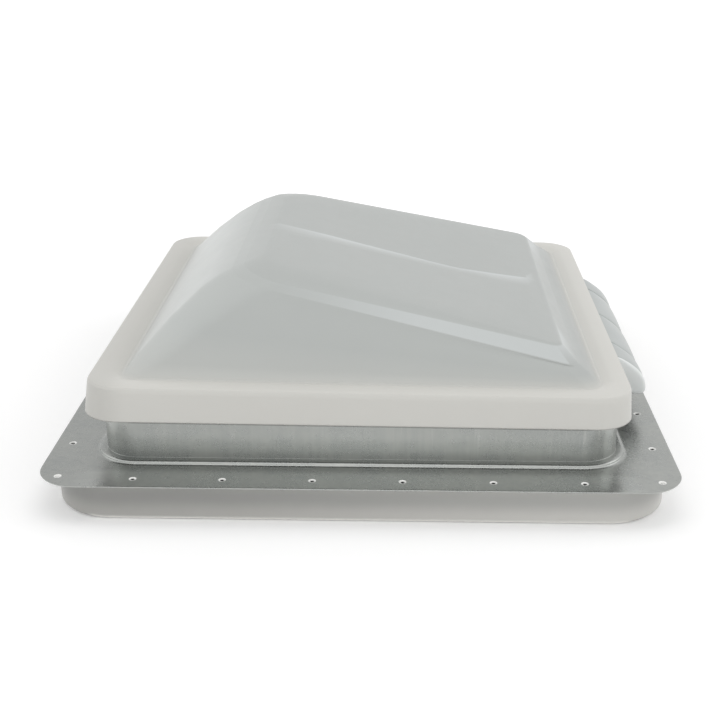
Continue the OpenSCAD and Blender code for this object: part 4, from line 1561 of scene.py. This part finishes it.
class BasePan(SubAssembly):
    """The drawn sheet-metal pan: flange, collar and turned-in lip."""

    def __init__(self, sizes: PanSizes, shelf: FinishShelf) -> None:
        """Keeps the sizes and the finishes."""
        super().__init__(shelf)
        self.sizes = sizes

    def collar_line(self, half: float, height: float) -> Outline:
        """Returns an outline that keeps the collar's corner centres."""
        return Outline.level(half, half - self.sizes.corner_centre, height)

    def collar_lines(self) -> list[Outline]:
        """Draws up the collar.

        Returns:
            Its outlines, from the foot bead up to the turned-in lip.
        """
        size = self.sizes
        bead = [self.collar_line(size.collar_half + out, height) for out, height in size.bead]
        rows = (*size.wall_rows, size.height - size.bend)
        wall = [self.collar_line(size.collar_half, height) for height in rows]
        turn = []
        for angle in map(math.radians, size.bend_turns):
            inward, downward = size.bend * (1 - math.cos(angle)), size.bend * (1 - math.sin(angle))
            turn.append(self.collar_line(size.collar_half - inward, size.height - downward))
        lip = self.collar_line(size.collar_half - size.lip, size.height - size.lip_fall)
        return [*bead, *wall, *turn, lip]

    def hole_spots(self) -> list[Pair]:
        """Sets out the screw holes.

        Returns:
            Their middles: the corners, then the four rows.
        """
        size = self.sizes
        row = size.hole_row
        spots = [(sx * size.corner_hole, sy * size.corner_hole) for sx in (-1, 1) for sy in (-1, 1)]
        for step in size.hole_steps:
            spots += [(row, step), (-row, step), (step, row), (step, -row)]
        return spots

    def build(self) -> Piece:
        """Builds the pan.

        Returns:
            The pan.
        """
        size = self.sizes
        mould = Mould()
        foot = mould.skin(self.collar_lines())[0]
        border = [
            Outline.level(size.flange_half - out, size.flange_radius - out, size.sheet - drop)
            for out, drop in size.edge
        ]
        edges = foot + mould.skin(border)[0]
        hole_highlight = mould.mesh.verts.layers.float.new("hole_highlight_share")
        for x, y in self.hole_spots():
            rings = [mould.ring((x, y, size.sheet - drop), size.hole_radius + out) for out, drop in size.dimple]
            # each hole's dimple is marked for its painted highlight
            for loop in rings[1:]:
                for vert in ends_of(loop):
                    vert[hole_highlight] = 1.0
            mould.bridge(rings)
            edges += rings[0]
        bmesh.ops.triangle_fill(mould.mesh, use_beauty=True, edges=edges, normal=(0.0, 0.0, 1.0))
        pan = mould.cast("base_pan_sheet", sharp=40.0)
        thicken(pan, size.sheet)
        even_shading(pan)
        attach(pan, "base")
        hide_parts("base_pan")
        self.shelf.coat(pan, "galvanised_sheet")
        return pan


class Operator(SubAssembly):
    """The crank gear, its arm and its roller, all carried over."""

    carried = (
        ("lift_arm", "plated_steel", 0.25),
        ("arm_sector", "plated_steel", 0.15),
        ("arm_roller", "white_nylon", 0.3),
        ("roller_pin", "plated_steel", 0.15),
        ("roller_washer", "plated_steel", 0.12),
        ("operator_body", "cast_zinc", 0.5),
        ("operator_rivets", "plated_steel", 0.25),
        ("pivot_pin", "plated_steel", 0.15),
        ("pivot_clip", "plated_steel", 0.12),
        ("worm", "plated_steel", 0.05),
        ("worm_shaft", "plated_steel", 0.15),
        ("upper_bush", "white_nylon", 0.2),
        ("lower_bush", "white_nylon", 0.2),
        ("crank_knob", "white_nylon", 0.5),
        ("knob_screw", "plated_steel", 0.2),
    )


@dataclass
class ScreenSizes:
    """The insect screen's sizes."""

    half: float = 165.0
    pitch: float = 2.2
    thread: float = 0.26
    thread_sides: int = 6
    weave: float = 0.9
    port_x: Pair = (42.5, 99.5)
    port_y: float = 107.5
    cord_half: float = 165.8
    cord_radius: float = 8.3
    cord_thickness: float = 1.75
    cord_gap: Pair = (42.0, 100.0)
    cord_smooth: float = 60.0


class Ceiling(SubAssembly):
    """The ceiling garnish with its insect screen and turn clips."""

    carried = (
        ("garnish", "trim_plastic", 0.4),
        ("screen_frame", "white_nylon", 0.4),
        ("screen_clip_1", "white_nylon", 0.4),
        ("screen_clip_2", "white_nylon", 0.4),
        ("screen_clip_3", "white_nylon", 0.4),
        ("screen_clip_4", "white_nylon", 0.4),
        ("clip_screws", "plated_steel", 0.2),
    )

    def __init__(self, sizes: ScreenSizes, shelf: FinishShelf) -> None:
        """Keeps the sizes and the finishes."""
        super().__init__(shelf)
        self.sizes = sizes

    def thread(self, mould: Mould, start: Place, end: Place) -> None:
        """Lays one straight thread.

        Args:
            mould: The net being made.
            start: Where the thread starts.
            end: Where it ends.
        """
        first, last = Vector(start), Vector(end)
        run = last - first
        turn = run.to_track_quat("Z", "Y").to_matrix().to_4x4()
        bmesh.ops.create_cone(
            mould.mesh,
            cap_ends=True,
            segments=self.sizes.thread_sides,
            radius1=self.sizes.thread,
            radius2=self.sizes.thread,
            depth=run.length,
            matrix=Matrix.Translation((first + last) / 2) @ turn,
        )

    def build_net(self) -> Piece:
        """Builds the insect net.

        Returns:
            The net.
        """
        size = self.sizes
        low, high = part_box("screen_mesh")
        level = (low.z + high.z) / 2 / MM
        over, under = level + size.thread * size.weave, level - size.thread * size.weave
        mould = Mould()
        count = int(2 * size.half / size.pitch)
        for step in range(count + 1):
            place = (step - count / 2) * size.pitch
            if place > size.port_y:
                self.thread(mould, (-size.half, place, under), (size.port_x[0], place, under))
                self.thread(mould, (size.port_x[1], place, under), (size.half, place, under))
            else:
                self.thread(mould, (-size.half, place, under), (size.half, place, under))
            top = size.port_y if size.port_x[0] < place < size.port_x[1] else size.half
            self.thread(mould, (place, -size.half, over), (place, top, over))
        net = mould.cast("insect_net", sharp=70.0)
        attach(net, "garnish_group")
        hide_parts("screen_mesh")
        self.shelf.coat(net, "screen_thread")
        return net

    def build_cord(self) -> Piece:
        """Builds the rubber cord in the frame's groove.

        Returns:
            The cord.
        """
        size = self.sizes
        low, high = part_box("screen_cord")
        level = (low.z + high.z) / 2 / MM
        mould = Mould()
        mould.trace(Outline.level(size.cord_half, size.cord_radius, level))
        start, end = size.cord_gap
        gap = [vert for vert in mould.mesh.verts if vert.co.y > size.port_y and start < vert.co.x < end]
        bmesh.ops.delete(mould.mesh, geom=gap, context="VERTS")
        cord = self.walk(mould.cast("screen_cord_line"))
        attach(cord, "garnish_group")
        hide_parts("screen_cord")
        self.shelf.coat(cord, "spline_rubber")
        return cord

    @staticmethod
    def chain(path: Piece) -> list[int]:
        """Finds the order of the vertices along an open chain of edges.

        Args:
            path: The chain.

        Returns:
            The vertices' numbers from one end to the other.
        """
        neighbours: dict[int, list[int]] = {}
        for edge in path.data.edges:
            first, second = edge.vertices
            neighbours.setdefault(first, []).append(second)
            neighbours.setdefault(second, []).append(first)
        order = [min(index for index, linked in neighbours.items() if len(linked) == 1)]
        while ahead := [index for index in neighbours[order[-1]] if index not in order]:
            order.append(ahead[0])
        return order

    def walk(self, path: Piece) -> Piece:
        """Runs a round section along an open chain of edges.

        Args:
            path: The chain, which is used up.

        Returns:
            The cord.
        """
        order = self.chain(path)
        curve = bpy.data.curves.new("rubber_cord", "CURVE")
        curve.dimensions = "3D"
        curve.bevel_depth = self.sizes.cord_thickness * MM
        curve.bevel_resolution = 3
        curve.use_fill_caps = True
        spline = curve.splines.new("POLY")
        spline.points.add(len(order) - 1)
        for point, index in zip(spline.points, order):
            point.co = (*path.data.vertices[index].co, 1.0)
        guide = bpy.data.objects.new("rubber_cord_line", curve)
        bpy.context.scene.collection.objects.link(guide)
        tube = bpy.data.meshes.new_from_object(guide.evaluated_get(bpy.context.evaluated_depsgraph_get()))
        tube.shade_smooth()
        tube.set_sharp_from_angle(angle=math.radians(self.sizes.cord_smooth))
        cord = bpy.data.objects.new("rubber_cord", tube)
        bpy.context.scene.collection.objects.link(cord)
        bpy.data.objects.remove(path)
        bpy.data.objects.remove(guide)
        return cord


# Studio: places and sizes in metres


@dataclass(frozen=True)
class Lamp:
    """A soft rectangular lamp."""

    name: str
    place: Place
    target: Place
    size: Pair
    power: float

    def hang(self) -> None:
        """Adds the lamp to the scene."""
        data = bpy.data.lights.new(self.name, "AREA")
        data.shape = "RECTANGLE"
        data.size, data.size_y = self.size
        data.energy = self.power
        lamp = bpy.data.objects.new(self.name, data)
        lamp.location = self.place
        aim = Vector(self.target) - Vector(self.place)
        lamp.rotation_euler = aim.to_track_quat("-Z", "Y").to_euler()
        bpy.context.scene.collection.objects.link(lamp)


@dataclass(frozen=True)
class View:
    """Where the camera stands, its turns in degrees, and its lens and sensor in millimetres."""

    place: Place = (0.0317, -0.9709, 0.3917)
    pitch: float = 21.604
    yaw: float = 2.215
    roll: float = -0.371
    lens: float = 60.35
    sensor: float = 36.0


@dataclass(frozen=True)
class Studio:
    """The white table, the surrounding light and the camera."""

    floor_height: float
    view: View = View()
    room_light: float = 0.82
    table_half: float = 6.0
    table_cuts: int = 8
    paper: Colour = (0.9, 0.9, 0.9, 1.0)
    paper_gloss: float = 0.95
    paper_glow: Span = (0.4, 1.4, 0.16, 1.0)
    hung: tuple[Lamp, ...] = (
        Lamp("overhead_box", place=(0.1, -0.35, 1.5), target=(0.05, 0.0, 0.0), size=(1.1, 0.7), power=3.3),
        Lamp("front_box", place=(0.1, -2.0, 0.75), target=(0.0, 0.0, 0.04), size=(1.6, 0.8), power=2.0),
        Lamp("left_box", place=(-1.7, 0.1, 1.1), target=(0.0, 0.0, 0.05), size=(1.2, 1.2), power=2.0),
        Lamp("right_box", place=(1.7, 0.1, 1.1), target=(0.0, 0.0, 0.05), size=(1.2, 1.2), power=3.5),
    )

    @staticmethod
    def seen(graph: Graph) -> Socket:
        """Finds what the camera sees straight, mirrored or through something.

        Args:
            graph: The graph that asks.

        Returns:
            1 for what is seen so, and 0 elsewhere.
        """
        path = graph.add("ShaderNodeLightPath")
        mirrored = graph.plus(path.outputs["Is Camera Ray"], path.outputs["Is Glossy Ray"])
        return graph.math("ADD", mirrored, path.outputs["Is Transmission Ray"], clamp=True)

    def surround(self) -> None:
        """Sets the light that comes from all round."""
        world = bpy.data.worlds.new("white_room")
        world.use_nodes = True
        graph = Graph(world.node_tree)
        sky = graph.add("ShaderNodeBackground")
        sky.inputs["Color"].default_value = WHITE
        graph.feed(sky.inputs["Strength"], graph.span(self.seen(graph), 0.0, 1.0, self.room_light, 1.0))
        out = graph.add("ShaderNodeOutputWorld")
        graph.feed(out.inputs["Surface"], sky.outputs[0])
        bpy.context.scene.world = world

    def table(self) -> None:
        """Lays the white table."""
        shape = bmesh.new()
        bmesh.ops.create_grid(shape, x_segments=self.table_cuts, y_segments=self.table_cuts, size=self.table_half)
        data = bpy.data.meshes.new("table")
        shape.to_mesh(data)
        shape.free()
        table = bpy.data.objects.new("table", data)
        table.location.z = self.floor_height
        bpy.context.scene.collection.objects.link(table)
        table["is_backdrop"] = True
        material = bpy.data.materials.new("white_table")
        paint = Paint(material)
        paint.give("Base Color", self.paper)
        paint.give("Roughness", self.paper_gloss)
        paint.give("Specular IOR Level", 0.0)
        paint.give("Emission Color", WHITE)
        away = paint.add("ShaderNodeVectorMath", operation="LENGTH")
        paint.feed(away.inputs[0], paint.place)
        glow = paint.span(away.outputs["Value"], *self.paper_glow)
        paint.give("Emission Strength", paint.times(self.seen(paint), glow))
        data.materials.append(material)

    def camera(self) -> None:
        """Sets the camera where the view was taken from."""
        view = self.view
        pitch, yaw, roll = (math.radians(turn) for turn in (view.pitch, view.yaw, view.roll))
        ahead = Vector((-math.sin(yaw) * math.cos(pitch), math.cos(yaw) * math.cos(pitch), -math.sin(pitch)))
        side = Vector((math.cos(yaw), math.sin(yaw), 0.0))
        above = side.cross(ahead)
        right = math.cos(roll) * side + math.sin(roll) * above
        up = -math.sin(roll) * side + math.cos(roll) * above
        data = bpy.data.cameras.new("camera")
        data.sensor_width = view.sensor
        data.lens = view.lens
        data.dof.use_dof = False
        camera = bpy.data.objects.new("camera", data)
        pose = Matrix((right, up, -ahead)).transposed().to_4x4()
        pose.translation = view.place
        camera.matrix_world = pose
        bpy.context.scene.collection.objects.link(camera)
        bpy.context.scene.camera = camera

    def set_up(self) -> None:
        """Puts the whole studio together."""
        self.camera()
        self.surround()
        self.table()
        for lamp in self.hung:
            lamp.hang()
        bpy.context.scene.view_settings.view_transform = "Standard"


def main() -> None:
    """Builds the vent, piece after piece, and sets up the studio."""
    logging.basicConfig(level=logging.INFO, format="%(name)s: %(message)s")
    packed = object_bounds()
    Studio(floor_height=packed[0].z - TABLE_GAP_METRES).set_up()
    shelf = FinishShelf()
    pan = BasePan(PanSizes(), shelf)
    log.info("built %s", pan.build().name)
    lid = Lid(LidSizes(), shelf)
    for build in (lid.build_shell, lid.build_hood, lid.build_seal):
        log.info("built %s", build().name)
    lid.dress()
    Operator(shelf).dress()
    ceiling = Ceiling(ScreenSizes(), shelf)
    for build in (ceiling.build_net, ceiling.build_cord):
        log.info("built %s", build().name)
    ceiling.dress()


if __name__ == "__main__":
    main()
